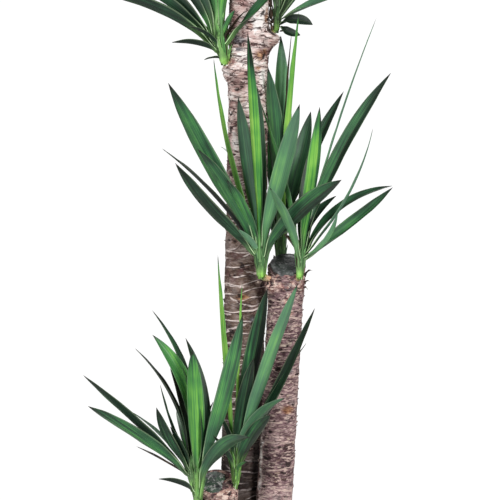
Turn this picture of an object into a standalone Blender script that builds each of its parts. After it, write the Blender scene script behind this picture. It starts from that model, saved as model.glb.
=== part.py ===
"""Potted yucca: three bare canes of different heights in one pot, each with three leafy heads.

Metres, +Z up. The origin is the centre of the pot's underside, +X is to the viewer's right and the viewer
stands at -Y. The tables are in millimetres and are scaled where they are read.
"""

import math
import random

import bmesh
import bpy
from mathutils import Matrix, Vector

MM = 0.001
UP = Vector((0.0, 0.0, 1.0))
GAP = 0.35  # clearance kept between solids that touch on the real plant

# Pot, a plain tapered grower's pot with a stepped rim
POT_HEIGHT = 250.0
POT_BASE_RADIUS = 106.0
POT_RIM_RADIUS = 140.0
POT_WALL = 2.6
POT_FLOOR = 3.0
POT_EDGE = 2.0
RIM_BAND = 24.0
RIM_STEP = 4.0
RIM_ROUND = 1.0
POT_SIDES = 36
DRAIN_HOLES = 6
DRAIN_RADIUS = 6.0
DRAIN_RING = 74.0
DRAIN_SIDES = 8

# Potting soil, its surface in rings from the wall to the middle
SOIL_LEVEL = 228.0
SOIL_ROUGHNESS = 2.2
SOIL_EDGE_DROP = 8.0
SOIL_RINGS = (0.94, 0.72, 0.4)

# Canes: foot and top are points of the axis, bow bends its middle along +X, wax is the radius of its seal
CANES = {
    "tall": {"foot": (-18, 34, 88), "top": (7, 31, 1288), "bow": 3, "radius": 29.0,
             "flare": 2.0, "wax": 28.0},
    "medium": {"foot": (26, 1, 108), "top": (64, -5, 856), "bow": -1.5, "radius": 25.8,
               "flare": 2.0, "wax": 25.0},
    "low": {"foot": (-33, -42, 88), "top": (-43, -45, 533), "bow": 0, "radius": 28.0,
            "flare": 3.0, "wax": 23.0},
}
CANE_SIDES = 11
SCAR_PITCH = 42.0
SCAR_DEPTH = 1.5
SCAR_WAVE = 4.5
SCAR_CLEAR = 14.0  # plain bark kept just above the soil
FLARE_LENGTH = 70.0
CUT_SLOPE = 0.5  # the sawn ends fall towards the viewer

# Wax seal on each sawn end
WAX_PROFILE = ((1.0, 0.0), (1.0, 2.0), (0.82, 3.8), (0.45, 5.1))  # share of the radius, height
WAX_SIDES = 14

# Leaf blades, each seated inside the stem, off its axis
BLADE_SEAT = 3.0
BLADE_STATIONS = (0.0, 0.12, 0.27, 0.44, 0.62, 0.78, 0.91)
BASE_WIDTH_SHARE = 0.44
WIDEST_AT = 0.42
TAPER_POWER = 3.0
TURN_DONE_AT = 0.45
RIB_THICKNESS = 2.2
TIP_THICKNESS = 1.3
FOLD_AT_BASE = 38.0
FOLD_AT_TIP = 16.0

# Green stems of the heads: radii from the socket in the bark to the growing point
STEM_RADII = (4.6, 5.2, 6.2, 7.4, 8.6, 8.6, 6.0)
STEM_BEND_SHARE = 0.5
STEM_SIDES = 8
SOCKET_DEPTH = 12.0
SOCKET_DROP = 12.0
BARK_SWELL_ANGLE = 0.55
BARK_SWELL_BELOW = 18.0  # it fades slowly downwards and ends soon above
BARK_SWELL_ABOVE = 8.0
BARK_SWELL_DROP = 15.0

# Leaves that the viewer cannot see: their rise and their largest turn in degrees, and their arch as a
# share of their reach
HIDDEN_RISE = (74, 46, 62, 30, 68, 52)
HIDDEN_SPREAD = 5.0
HIDDEN_TURN = 20.0
HIDDEN_ARCH = 0.1
HIDDEN_LENGTH = (250.0, 330.0)
HIDDEN_WIDTH = (24.0, 30.0)

# Heads: root is where the green stem turns upwards beside its cane, lean is how far the growing point is
# from it, swell is how far the bark stands out at the socket, and girth scales the stem's radii. Each leaf
# gives its tip from the root, its greatest width, how far its middle arches off the straight line, and how
# many degrees the blade turns about its own length. Hidden leaves are a count, two compass bearings from +X
# and a seed.
HEADS = {
    "medium_left": {
        "cane": "medium", "root": (24, -24, 846), "lean": (-1, -2, 50), "swell": 7, "girth": 1.1,
        "leaves": [
            (-134, -105, 284, 33, -3, 32),
            (-70, -8, 318, 24, -12, 0),
            (-147, 4, 185, 22, 10, 0),
            (-126, -45, 166, 31, -10, 30),
            (-34, -40, 262, 26, 0, 25),
            (-20, -78, 357, 19, 5, -10),
            (-6, -34, 278, 22, 6, 0),
            (55, -92, 253, 30, 0, -22),
            (115, -112, 145, 33, 11, -40),
            (-50, -62, 142, 20, 5, 25),
            (-92, -84, 188, 24, 8, 30),
            (-34, -36, 68, 15, 1, 15),
        ],
    },
    "medium_right": {
        "cane": "medium", "root": (82, -34, 846), "lean": (0, -2, 46), "swell": 3, "girth": 0.86,
        "leaves": [
            (-61, -12, 259, 22, 4, -11),
            (27, -44, 248, 30, -11, 10),
            (136, 40, 297, 26, 15, 42),
            (115, 60, 379, 9, 7, -28),
            (-46, -105, 134, 20, 4, -5),
            (54, 10, 115, 20, 11, 30),
            (136, -15, 129, 28, -6, 36),
            (54, -40, 93, 14, -15, -10),
            (106, -20, 216, 12, -17, 8),
            (138, 24, 129, 22, 23, 24),
            (-24, -25, 61, 17, 2, 0),
            (24, 52, 197, 24, 6, 10),
        ],
    },
    "medium_back": {
        "cane": "medium", "root": (54, 29, 849), "lean": (0, 4, 74), "swell": 3, "girth": 1.12,
        "leaves": [
            (-20, -34, 303, 32, 5, 0),
            (0, 20, 350, 32, 3, 22),
            (16, 4, 355, 9, 3, 0),
            (26, -40, 384, 22, 0, 35),
            (46, 35, 235, 29, -2, 38),
            (97, 60, 265, 22, 8, 35),
        ],
        "hidden": (5, 80, 118, 4),
    },
    "low_left": {
        "cane": "low", "root": (-70, -73, 511), "lean": (1, -2, 44), "swell": 6, "girth": 1.0,
        "leaves": [
            (-7, -41, 230, 30, 4, 0),
            (67, -51, 284, 29, -6, -35),
            (77, -96, 112, 26, 21, -42),
            (-57, -26, 38, 18, 3, 30),
            (-18, 19, 241, 24, 25, 0),
            (23, 10, 147, 22, 6, -10),
            (-8, 20, 115, 20, 4, 20),
        ],
    },
    "low_back": {
        "cane": "low", "root": (-77, -36, 527), "lean": (-3, 3, 38), "swell": 2, "girth": 0.85,
        "leaves": [
            (-162, -30, 171, 24, -1, 34),
            (-154, -50, 128, 30, 2, 40),
            (-91, 20, 107, 20, 6, 20),
            (-61, 4, 227, 29, 27, -60),
            (-63, 45, 259, 22, 31, 12),
            (-89, 40, 202, 17, 21, 12),
            (-49, -10, 154, 13, -5, 0),
            (-54, -30, 123, 21, -9, 30),
            (-35, 15, 175, 20, 4, 0),
            (-85, -14, 62, 8, 1, 0),
            (-5, 95, 155, 25, 14, 15),
            (-27, 130, 100, 24, 20, -15),
            (17, 110, 65, 22, 18, 0),
            (-19, 60, 187, 24, 8, 0),
            (-34, -15, 92, 22, -2, 10),
        ],
    },
    "low_right": {
        "cane": "low", "root": (-14, -53, 534), "lean": (1, -2, 44), "swell": 2, "girth": 0.8,
        "leaves": [
            (47, -39, 296, 31, 3, -30),
            (91, -79, 308, 26, 3, -20),
            (117, -21, 265, 31, -8, 34),
            (105, -5, 211, 16, 6, 0),
            (-26, 1, 341, 27, -4, 10),
            (10, -45, 306, 8, 2, 45),
            (73, -64, 138, 26, 18, -20),
            (51, -84, 116, 24, 9, -30),
            (17, -39, 40, 10, 2, 0),
            (-25, -10, 106, 20, 3, 0),
            (-33, -64, 83, 12, 3, 0),
            (27, -59, 196, 24, 8, -10),
        ],
    },
    "tall_left": {
        "cane": "tall", "root": (-31, 16, 1163), "lean": (-9, -3, 46), "swell": 12, "girth": 1.15,
        "leaves": [
            (-239, -10, 108, 32, 19, 32),
            (-189, 40, 142, 28, 9, 40),
            (-159, 62, 165, 28, 4, 45),
            (-54, -40, 49, 14, 5, 0),
            (-78, -20, 25, 19, 5, 25),
            (-30, -12, -1, 9, 2, 0),
            (-75, 20, 229, 28, 6, 45),
            (-45, -30, 259, 28, 6, 20),
            (-19, 30, 273, 26, 3, 0),
            (21, -55, 269, 26, 5, 0),
            (125, -92, 155, 25, -2, 60),
            (16, -30, 73, 11, 2, 0),
            (-111, 8, 209, 28, 8, 45),
            (-137, 30, 194, 30, 6, 45),
            (32, -40, 72, 9, 2, 30),
        ],
        "hidden": (2, 108, 158, 27),
    },
    "tall_right": {
        "cane": "tall", "root": (47, 27, 1211), "lean": (3, 0, 44), "swell": 17, "girth": 0.76,
        "leaves": [
            (-20, -30, 211, 27, 4, 0),
            (1, 20, 271, 26, 3, 10),
            (27, -16, 255, 26, 3, 20),
            (53, 22, 225, 24, 6, 25),
            (54, -24, 3, 20, 7, 60),
            (36, -12, -12, 15, -3, 60),
            (135, -4, 62, 22, 2, 30),
            (181, 26, 163, 27, 16, 30),
        ],
        "hidden": (6, -75, 80, 25),
    },
    "tall_back": {
        "cane": "tall", "root": (6, 70, 1237), "lean": (0, 4, 48), "swell": 3, "girth": 1.0,
        "leaves": [
            (-6, 6, 315, 28, 3, 0),
            (22, -26, 293, 26, 4, 15),
            (-30, -20, 297, 27, 4, -15),
        ],
        "hidden": (11, -15, 200, 30),
    },
}


def mm(point):
    """A point of the tables, in metres."""
    return Vector(point) * MM


def smooth(share):
    """Eased rise from 0 to 1."""
    share = min(max(share, 0.0), 1.0)
    return share * share * (3.0 - 2.0 * share)


def blend(start, end, share):
    return start + (end - start) * share


def curve_point(start, control, end, share):
    """Point of a quadratic curve."""
    rest = 1.0 - share
    return start * rest * rest + control * 2.0 * rest * share + end * share * share


def clear_scene():
    for obj in list(bpy.data.objects):
        bpy.data.objects.remove(obj)


def make_material(name, color, roughness):
    material = bpy.data.materials.new(name)
    material.use_nodes = True
    shader = material.node_tree.nodes["Principled BSDF"]
    shader.inputs["Base Color"].default_value = (*color, 1.0)
    shader.inputs["Roughness"].default_value = roughness
    shader.inputs["Metallic"].default_value = 0.0
    return material


def add_object(name, vertices, faces, material):
    mesh = bpy.data.meshes.new(name)
    mesh.from_pydata(vertices, [], faces)
    mesh.materials.append(material)
    obj = bpy.data.objects.new(name, mesh)
    bpy.context.scene.collection.objects.link(obj)
    return obj


def skin_rings(rings):
    """Faces that join closed rings of equal count, with a flat cap on the first and the last."""
    vertices = [point for ring in rings for point in ring]
    count = len(rings[0])
    faces = []
    for row in range(len(rings) - 1):
        low = row * count
        for side in range(count):
            after = (side + 1) % count
            faces.append((low + side, low + after, low + count + after, low + count + side))
    faces.append(tuple(reversed(range(count))))
    faces.append(tuple(range(len(vertices) - count, len(vertices))))
    return vertices, faces


def circle(center, radius, sides):
    """Ring of points round the vertical, anticlockwise from above."""
    angles = [math.tau * side / sides for side in range(sides)]
    return [center + Vector((math.cos(a), math.sin(a), 0.0)) * radius for a in angles]


def apply_modifiers(obj):
    """Keep the evaluated mesh and drop the modifiers that made it."""
    depsgraph = bpy.context.evaluated_depsgraph_get()
    mesh = bpy.data.meshes.new_from_object(obj.evaluated_get(depsgraph))
    obj.modifiers.clear()
    obj.data = mesh


def cut_away(obj, cutters):
    """Cut each of the cutters out of the object and remove them."""
    for cutter in cutters:
        boolean = obj.modifiers.new("cut", "BOOLEAN")
        boolean.operation = "DIFFERENCE"
        boolean.solver = "EXACT"
        boolean.object = cutter
    apply_modifiers(obj)
    for cutter in cutters:
        bpy.data.objects.remove(cutter)


def keep_largest_body(obj):
    """Drop loose scraps, and fill sealed hollows by dropping their inner faces."""
    body = bmesh.new()
    body.from_mesh(obj.data)
    unseen = set(body.verts)
    groups = []
    while unseen:
        stack = [unseen.pop()]
        group = set(stack)
        while stack:
            for edge in stack.pop().link_edges:
                for vert in edge.verts:
                    if vert in unseen:
                        unseen.discard(vert)
                        group.add(vert)
                        stack.append(vert)
        groups.append(group)
    groups.sort(key=len)
    loose = [vert for group in groups[:-1] for vert in group]
    bmesh.ops.delete(body, geom=loose, context="VERTS")
    bmesh.ops.triangulate(body, faces=body.faces)
    body.to_mesh(obj.data)
    body.free()


def finish(obj, sharp_angle=40.0):
    obj.data.shade_smooth()
    obj.data.set_sharp_from_angle(angle=math.radians(sharp_angle))


def pot_outer_radius(height):
    """Radius of the tapered wall below the rim band, in millimetres."""
    return blend(POT_BASE_RADIUS, POT_RIM_RADIUS - RIM_STEP, height / (POT_HEIGHT - RIM_BAND))


def build_pot(material):
    """Tapered pot turned from one profile, with drain holes round its floor."""
    band = POT_HEIGHT - RIM_BAND
    profile = [
        (POT_BASE_RADIUS - POT_EDGE, 0.0),
        (POT_BASE_RADIUS, POT_EDGE),
        (pot_outer_radius(band), band),
        (POT_RIM_RADIUS, band + RIM_ROUND),
        (POT_RIM_RADIUS, POT_HEIGHT - RIM_ROUND),
        (POT_RIM_RADIUS - RIM_ROUND, POT_HEIGHT),
        (POT_RIM_RADIUS - RIM_ROUND - POT_WALL, POT_HEIGHT),
        (POT_RIM_RADIUS - RIM_ROUND - POT_WALL, band + RIM_STEP),
        (pot_outer_radius(band - POT_WALL) - POT_WALL, band - POT_WALL),
        (pot_outer_radius(POT_FLOOR) - POT_WALL, POT_FLOOR),
    ]
    rings = [circle(mm((0, 0, z)), radius * MM, POT_SIDES) for radius, z in profile]
    pot = add_object("pot", *skin_rings(rings), material)
    cutters = []
    for hole in range(DRAIN_HOLES):
        angle = math.tau * (hole + 0.5) / DRAIN_HOLES
        center = mm((DRAIN_RING * math.cos(angle), DRAIN_RING * math.sin(angle), 0.0))
        heights = (-POT_FLOOR, 2.0 * POT_FLOOR)
        ends = [circle(center + UP * z * MM, DRAIN_RADIUS * MM, DRAIN_SIDES) for z in heights]
        cutters.append(add_object("drain_cutter", *skin_rings(ends), material))
    cut_away(pot, cutters)
    finish(pot)
    return pot


def soil_height(x, y):
    """Uneven surface of the soil, in millimetres."""
    waves = math.sin(x * 0.061 + 1.3) * math.cos(y * 0.052) + 0.6 * math.sin(x * 0.11 - y * 0.09)
    return SOIL_LEVEL + SOIL_ROUGHNESS * waves


def build_soil(material):
    """Soil that fills the pot, with a plain hole for the buried foot of each cane."""
    inset = POT_WALL + GAP
    edge = pot_outer_radius(SOIL_LEVEL - SOIL_EDGE_DROP) - inset
    floor = POT_FLOOR + GAP
    rings = [circle(mm((0, 0, floor)), (pot_outer_radius(floor) - inset - GAP) * MM, POT_SIDES)]
    rings.append(circle(mm((0, 0, SOIL_LEVEL - SOIL_EDGE_DROP)), edge * MM, POT_SIDES))
    for share in SOIL_RINGS:
        ring = circle(Vector(), edge * share * MM, POT_SIDES)
        for point in ring:
            point.z = soil_height(point.x / MM, point.y / MM) * MM
        rings.append(ring)
    vertices, faces = skin_rings(rings)
    faces.pop()
    middle = len(vertices)
    vertices.append(mm((0, 0, soil_height(0.0, 0.0))))
    first = middle - POT_SIDES
    faces += [(first + side, first + (side + 1) % POT_SIDES, middle) for side in range(POT_SIDES)]
    soil = add_object("potting_soil", vertices, faces, material)
    cut_away(soil, [add_object("foot_cutter", *cane_foot(cane, GAP), material) for cane in CANES.values()])
    keep_largest_body(soil)
    finish(soil)
    return soil


def cane_center(cane, height):
    """Point of the cane's axis at a height, in millimetres."""
    foot, top = Vector(cane["foot"]), Vector(cane["top"])
    share = (height - foot.z) / (top.z - foot.z)
    point = foot.lerp(top, share)
    point.x += cane["bow"] * 4.0 * share * (1.0 - share)
    return point


def cane_foot(cane, clearance):
    """Plain buried stretch of a cane, enlarged by the clearance, up to above the soil."""
    low = cane["foot"][2] - clearance
    rings = []
    for height in (low, SOIL_LEVEL + SCAR_CLEAR):
        center = cane_center(cane, height)
        rings.append(circle(center * MM, (cane["radius"] + clearance) * MM, CANE_SIDES))
    return skin_rings(rings)


def bark_swell(name, center, angle, height):
    """How far the bark stands out round the sockets of the cane's heads, in millimetres."""
    total = 0.0
    for head in HEADS.values():
        if head["cane"] == name:
            root = Vector(head["root"])
            away = root - center
            turn = math.remainder(angle - math.atan2(away.y, away.x), math.tau) / BARK_SWELL_ANGLE
            rise = height - root.z + BARK_SWELL_DROP
            rise /= BARK_SWELL_ABOVE if rise > 0.0 else BARK_SWELL_BELOW
            total += head["swell"] * math.exp(-turn * turn - rise * rise)
    return total


def cane_ring(name, cane, height, relief, wave_phase):
    """One ring of the bark. Near the top it tilts into the plane of the sawn end."""
    center = cane_center(cane, height)
    top = cane["top"][2]
    near_top = min(max((height - top + FLARE_LENGTH) / FLARE_LENGTH, 0.0), 1.0)
    ring = []
    for side in range(CANE_SIDES):
        angle = math.tau * side / CANE_SIDES
        radius = cane["radius"] + cane["flare"] * smooth(near_top) + relief
        radius += bark_swell(name, center, angle, height) if relief else 0.0
        wave = SCAR_WAVE * math.cos(2.0 * angle + wave_phase) if relief else 0.0
        tilt = CUT_SLOPE * radius * math.sin(angle) * near_top
        offset = Vector((radius * math.cos(angle), radius * math.sin(angle), tilt + wave * (1.0 - near_top)))
        ring.append((center + offset) * MM)
    return ring


def build_cane(name, material):
    """Bark with rings of leaf scars, a sawn top, and a socket for each head's stem."""
    cane = CANES[name]
    start, top = SOIL_LEVEL + SCAR_CLEAR, cane["top"][2]
    rings = [cane_ring(name, cane, height, 0.0, 0.0) for height in (cane["foot"][2], start)]
    steps = round((top - start) / (SCAR_PITCH / 2.0))
    for step in range(1, steps):
        relief = SCAR_DEPTH * (0.5 if step % 2 else -0.5)
        height = start + (top - start) * step / steps
        rings.append(cane_ring(name, cane, height, relief, step * 1.3))
    rings.append(cane_ring(name, cane, top, 0.0, 0.0))
    obj = add_object("cane_" + name, *skin_rings(rings), material)
    heads = [head for head in HEADS.values() if head["cane"] == name]
    cut_away(obj, [add_object("socket_cutter", *stem_shell(head, GAP), material) for head in heads])
    keep_largest_body(obj)
    finish(obj, 30.0)
    return obj


def build_wax_seal(name, material):
    """Domed wax cap that covers the sawn end of a cane."""
    cane = CANES[name]
    base = Vector(cane["top"]) * MM + UP * GAP * MM
    rings = []
    for share, rise in WAX_PROFILE:
        ring = circle(Vector(), cane["wax"] * share * MM, WAX_SIDES)
        for point in ring:
            point.z = CUT_SLOPE * point.y + rise * MM
        rings.append([base + point for point in ring])
    seal = add_object("wax_seal_" + name, *skin_rings(rings), material)
    finish(seal)
    return seal


def stem_point(inner, elbow, root, lean, share):
    """Point of a stem's axis: it bends out of the bark up to the root, then runs straight."""
    if share < STEM_BEND_SHARE:
        return curve_point(inner, elbow, root, share / STEM_BEND_SHARE)
    return root + lean * (share - STEM_BEND_SHARE) / (1.0 - STEM_BEND_SHARE)


def stem_shell(head, clearance):
    """Green stem from its socket in the bark to its growing point, enlarged by the clearance."""
    root, lean = Vector(head["root"]), Vector(head["lean"])
    cane = CANES[head["cane"]]
    center = cane_center(cane, root.z - SOCKET_DROP)
    outward = (root - center).to_2d().normalized().to_3d()
    inner = center + outward * (cane["radius"] - SOCKET_DEPTH)
    elbow = Vector((root.x, root.y, center.z + STEM_RADII[1] * 0.5))
    rings = []
    for step, radius in enumerate(STEM_RADII):
        point = stem_point(inner, elbow, root, lean, step / (len(STEM_RADII) - 1))
        ahead = stem_point(inner, elbow, root, lean, step / (len(STEM_RADII) - 1) + 0.01) - point
        turn = UP.rotation_difference(ahead)
        ring = circle(Vector(), radius * head["girth"] + clearance, STEM_SIDES)
        rings.append([(point + turn @ spoke) * MM for spoke in ring])
    return skin_rings(rings)


def blade_width_share(share):
    """Width along a blade: narrow at the stem, widest at its middle, drawn out to the tip."""
    if share < WIDEST_AT:
        return blend(BASE_WIDTH_SHARE, 1.0, smooth(share / WIDEST_AT))
    return 1.0 - ((share - WIDEST_AT) / (1.0 - WIDEST_AT)) ** TAPER_POWER


def leaf_shell(head, leaf):
    """Folded blade with a thicker rib. Both of its faces are split into triangles alike."""
    x, y, z, width, bow, turn = leaf
    rise = math.atan2(z, math.hypot(x, y)) / (math.pi / 2.0)
    root, lean = Vector(head["root"]), Vector(head["lean"])
    end = root + Vector((x, y, z))
    outward = Vector((x, y, 0.0)).normalized()
    start = root + lean * blend(0.04, 0.84, max(rise, 0.0)) + outward * BLADE_SEAT
    across = outward.cross(UP)
    arch = across.cross(end - start).normalized()
    control = (start + end) / 2.0 + arch * 2.0 * bow
    rings = []
    for share in BLADE_STATIONS:
        point = curve_point(start, control, end, share)
        along = curve_point(start, control, end, share + 0.01) - point
        roll = Matrix.Rotation(math.radians(turn) * smooth(share / TURN_DONE_AT), 3, along.normalized())
        side = roll @ across
        above = side.cross(along).normalized()
        half = width / 2.0 * blade_width_share(share)
        fold = math.radians(blend(FOLD_AT_BASE, FOLD_AT_TIP, share))
        thick = blend(RIB_THICKNESS, TIP_THICKNESS, share) / 2.0
        lift = above * half * math.sin(fold)
        reach = side * half * math.cos(fold)
        edges = (point - reach + lift, point + reach + lift)
        rings.append([edges[0], point + above * thick, edges[1], point - above * thick])
    vertices = [corner * MM for ring in rings for corner in ring] + [end * MM]
    tip = len(vertices) - 1
    faces = [(3, 1, 0), (3, 2, 1)]
    for row in range(len(rings) - 1):
        left, top, right, bottom = range(row * 4, row * 4 + 4)
        faces += [(left, top, top + 4), (left, top + 4, left + 4)]
        faces += [(right, right + 4, top + 4), (right, top + 4, top)]
        faces += [(right, bottom + 4, right + 4), (right, bottom, bottom + 4)]
        faces += [(left, left + 4, bottom + 4), (left, bottom + 4, bottom)]
    left, top, right, bottom = range(tip - 4, tip)
    faces += [(left, top, tip), (top, right, tip), (right, bottom, tip), (bottom, left, tip)]
    return vertices, faces


def hidden_leaves(count, first, last, seed):
    """Leaves spread by a rule over the side of a head that the viewer cannot see."""
    draw = random.Random(seed)
    leaves = []
    for number in range(count):
        bearing = blend(first, last, (number + 0.5) / count) + draw.uniform(-HIDDEN_SPREAD, HIDDEN_SPREAD)
        rise = HIDDEN_RISE[number % len(HIDDEN_RISE)] + draw.uniform(-HIDDEN_SPREAD, HIDDEN_SPREAD)
        bearing = math.radians(bearing)
        rise = math.radians(rise)
        length = draw.uniform(*HIDDEN_LENGTH)
        reach = length * math.cos(rise)
        tip = (reach * math.cos(bearing), reach * math.sin(bearing), length * math.sin(rise))
        turn = draw.uniform(-HIDDEN_TURN, HIDDEN_TURN)
        leaves.append((*tip, draw.uniform(*HIDDEN_WIDTH), HIDDEN_ARCH * reach, turn))
    return leaves


def head_leaves(head):
    unseen = hidden_leaves(*head["hidden"]) if "hidden" in head else []
    return head["leaves"] + unseen


def build_head(name, material):
    """Stem and leaves of one head, joined in one body."""
    head = HEADS[name]
    stem = add_object("head_" + name, *stem_shell(head, 0.0), material)
    blades = bpy.data.collections.new("blades")
    bpy.context.scene.collection.children.link(blades)
    for leaf in head_leaves(head):
        blade = add_object("blade", *leaf_shell(head, leaf), material)
        bpy.context.scene.collection.objects.unlink(blade)
        blades.objects.link(blade)
    boolean = stem.modifiers.new("join", "BOOLEAN")
    boolean.operation = "UNION"
    boolean.solver = "EXACT"
    boolean.operand_type = "COLLECTION"
    boolean.collection = blades
    apply_modifiers(stem)
    for blade in list(blades.objects):
        bpy.data.objects.remove(blade)
    bpy.data.collections.remove(blades)
    keep_largest_body(stem)
    finish(stem, 50.0)
    return stem


def main():
    clear_scene()
    plastic = make_material("anthracite_plastic", (0.035, 0.037, 0.04), 0.45)
    earth = make_material("potting_soil", (0.05, 0.032, 0.02), 0.95)
    bark = make_material("yucca_bark", (0.35, 0.26, 0.2), 0.85)
    wax = make_material("charcoal_wax", (0.055, 0.055, 0.058), 0.6)
    green = make_material("yucca_leaf", (0.07, 0.2, 0.06), 0.45)
    build_pot(plastic)
    build_soil(earth)
    for name in CANES:
        build_cane(name, bark)
        build_wax_seal(name, wax)
    for name in HEADS:
        build_head(name, green)


if __name__ == "__main__":
    main()
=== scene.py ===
import math
import random
from functools import partial

import bmesh
import bpy
from mathutils import Matrix, Vector, noise


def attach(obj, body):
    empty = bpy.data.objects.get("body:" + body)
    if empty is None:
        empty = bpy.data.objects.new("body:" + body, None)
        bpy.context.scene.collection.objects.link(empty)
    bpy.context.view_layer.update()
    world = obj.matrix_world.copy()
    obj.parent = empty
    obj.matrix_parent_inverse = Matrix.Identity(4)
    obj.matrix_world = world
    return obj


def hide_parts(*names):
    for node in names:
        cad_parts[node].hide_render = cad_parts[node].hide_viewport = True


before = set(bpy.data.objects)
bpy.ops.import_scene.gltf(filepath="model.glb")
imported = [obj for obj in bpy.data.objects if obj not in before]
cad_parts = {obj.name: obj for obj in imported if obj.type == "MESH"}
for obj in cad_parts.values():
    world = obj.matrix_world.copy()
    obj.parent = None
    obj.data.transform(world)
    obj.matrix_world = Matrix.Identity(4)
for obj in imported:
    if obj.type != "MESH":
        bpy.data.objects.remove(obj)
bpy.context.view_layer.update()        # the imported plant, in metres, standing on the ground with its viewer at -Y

mm = 0.001
tau = math.tau
up = Vector((0.0, 0.0, 1.0))
goldenTurn = math.radians(137.5)
smooth = {"interpolation_type": "SMOOTHSTEP"}
rgba = {"data_type": "RGBA"}


def say(text):
    print("potted yucca:", text)


# small maths

def mix(start, end, share):
    return start + (end - start) * share


def ease(share):
    share = min(max(share, 0.0), 1.0)
    return share * share * (3.0 - 2.0 * share)


def bend(start, control, end, share):  # point of a quadratic curve
    rest = 1.0 - share
    return start * rest * rest + control * 2.0 * rest * share + end * share * share


def fractal(point, scale, octaves=3):  # layered noise, about -1 to 1
    return noise.fractal(Vector(point) * scale, 0.9, 2.1, octaves)


def hexColor(code):  # sRGB hex to linear
    parts = [int(code[i:i + 2], 16) / 255.0 for i in (1, 3, 5)]
    return (*[v / 12.92 if v <= 0.04045 else ((v + 0.055) / 1.055) ** 2.4 for v in parts], 1.0)


# Node trees. One function adds a node with its settings and links; each tree gets it as its own add().

def addNode(tree, kind, inputs=(), operation=None, stops=(), **settings):
    prefixes = ("ShaderNode", "GeometryNode", "FunctionNode", "")
    new = tree.nodes.new(next(prefix + kind for prefix in prefixes if hasattr(bpy.types, prefix + kind)))
    new.location = (190 * (len(tree.nodes) % 12), -260 * (len(tree.nodes) // 12))
    if operation:
        settings["operation"] = operation
    for name, value in settings.items():
        setattr(new, name, value)
    openSockets = [socket for socket in new.inputs if socket.enabled]
    for key, value in (inputs.items() if isinstance(inputs, dict) else enumerate(inputs)):
        socket = openSockets[key] if isinstance(key, int) else next(s for s in openSockets if s.name == key)
        if isinstance(value, bpy.types.Node):
            value = next(out for out in value.outputs if out.enabled)
        if isinstance(value, bpy.types.NodeSocket):
            tree.links.new(value, socket)
        else:
            socket.default_value = hexColor(value) if str(value).startswith("#") else value
    if stops:
        ramp = new.color_ramp
        while len(ramp.elements) < len(stops):
            ramp.elements.new(0.5)
        for element, (place, color) in zip(ramp.elements, stops):
            element.position = place
            element.color = hexColor(color)
    return new


def newMaterial(name, attributes=()):  # with the Object coordinates and the attributes that it reads
    material = bpy.data.materials.new(name)
    material.use_nodes = True
    add = partial(addNode, material.node_tree)
    read = {key: add("Attribute", attribute_name=key).outputs["Fac"] for key in attributes}
    return material, add, add("TexCoord").outputs["Object"], read


def setShader(material, links, **values):
    shader = material.node_tree.nodes["Principled BSDF"]
    for name, value in values.items():
        shader.inputs[name.replace("_", " ")].default_value = value
    for name, node in links.items():
        material.node_tree.links.new(next(o for o in node.outputs if o.enabled), shader.inputs[name])
    return material


def newGeometryTree(name, sockets):
    tree = bpy.data.node_groups.new(name, "GeometryNodeTree")
    for label, kind in ({"Geometry": "Geometry"} | sockets | {"Surface": "Material"}).items():
        tree.interface.new_socket(label, in_out="INPUT", socket_type="NodeSocket" + kind)
    tree.interface.new_socket("Geometry", in_out="OUTPUT", socket_type="NodeSocketGeometry")
    add = partial(addNode, tree)
    return tree, add, {socket.name: socket for socket in add("NodeGroupInput").outputs}


def closeTree(add, geometry, surface):
    geometry = add("SetShadeSmooth", {"Geometry": geometry, "Shade Smooth": True})
    geometry = add("RealizeInstances", {"Geometry": geometry})
    add("NodeGroupOutput", (add("SetMaterial", {"Geometry": geometry, "Material": surface}),))


# Objects

def newObject(name, verts, faces, material, edges=()):
    mesh = bpy.data.meshes.new(name)
    mesh.from_pydata(verts, edges, faces)
    if material:
        mesh.materials.append(material)
    obj = bpy.data.objects.new(name, mesh)
    bpy.context.scene.collection.objects.link(obj)
    return obj


def ringFaces(rows, sides):  # quads between rings of points
    faces = []
    for row in range(rows - 1):
        for i in range(sides):
            here, after = row * sides + i, row * sides + (i + 1) % sides
            faces.append((here, after, after + sides, here + sides))
    return faces


def ringObject(name, verts, sides, material):  # rings of points, closed at both ends
    ends = [tuple(reversed(range(sides))), tuple(range(len(verts) - sides, len(verts)))]
    return newObject(name, verts, ringFaces(len(verts) // sides, sides) + ends, material)


def keepEvaluated(obj):  # a plain mesh in place of the modifiers
    graph = bpy.context.evaluated_depsgraph_get()
    mesh = bpy.data.meshes.new_from_object(obj.evaluated_get(graph), depsgraph=graph)
    obj.modifiers.clear()
    obj.data = mesh


def runTree(obj, tree, values):
    modifier = obj.modifiers.new(tree.name, "NODES")
    modifier.node_group = tree
    sockets = {item.name: item.identifier for item in tree.interface.items_tree if item.in_out == "INPUT"}
    for label, value in values.items():
        modifier[sockets[label]] = value
    keepEvaluated(obj)


def storeValues(mesh, table):  # table: name of the attribute -> one value for each vertex
    for name, values in table.items():
        vector = isinstance(values[0], Vector)
        layer = mesh.attributes.new(name, "FLOAT_VECTOR" if vector else "FLOAT", "POINT")
        flat = [part for value in values for part in value] if vector else values
        layer.data.foreach_set("vector" if vector else "value", flat)


def faceOutwards(obj):
    shell = bmesh.new()
    shell.from_mesh(obj.data)
    if shell.calc_volume(signed=True) < 0.0:
        obj.data.flip_normals()
    shell.free()


def finishPiece(obj, slot, *nodes):
    faceOutwards(obj)
    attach(obj, "root")
    if nodes:
        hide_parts(*nodes)
    say(f"{obj.name}: {len(obj.data.polygons)} faces")


# Materials. Every pattern has its real size, and takes its place from Object coordinates or attributes.

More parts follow.
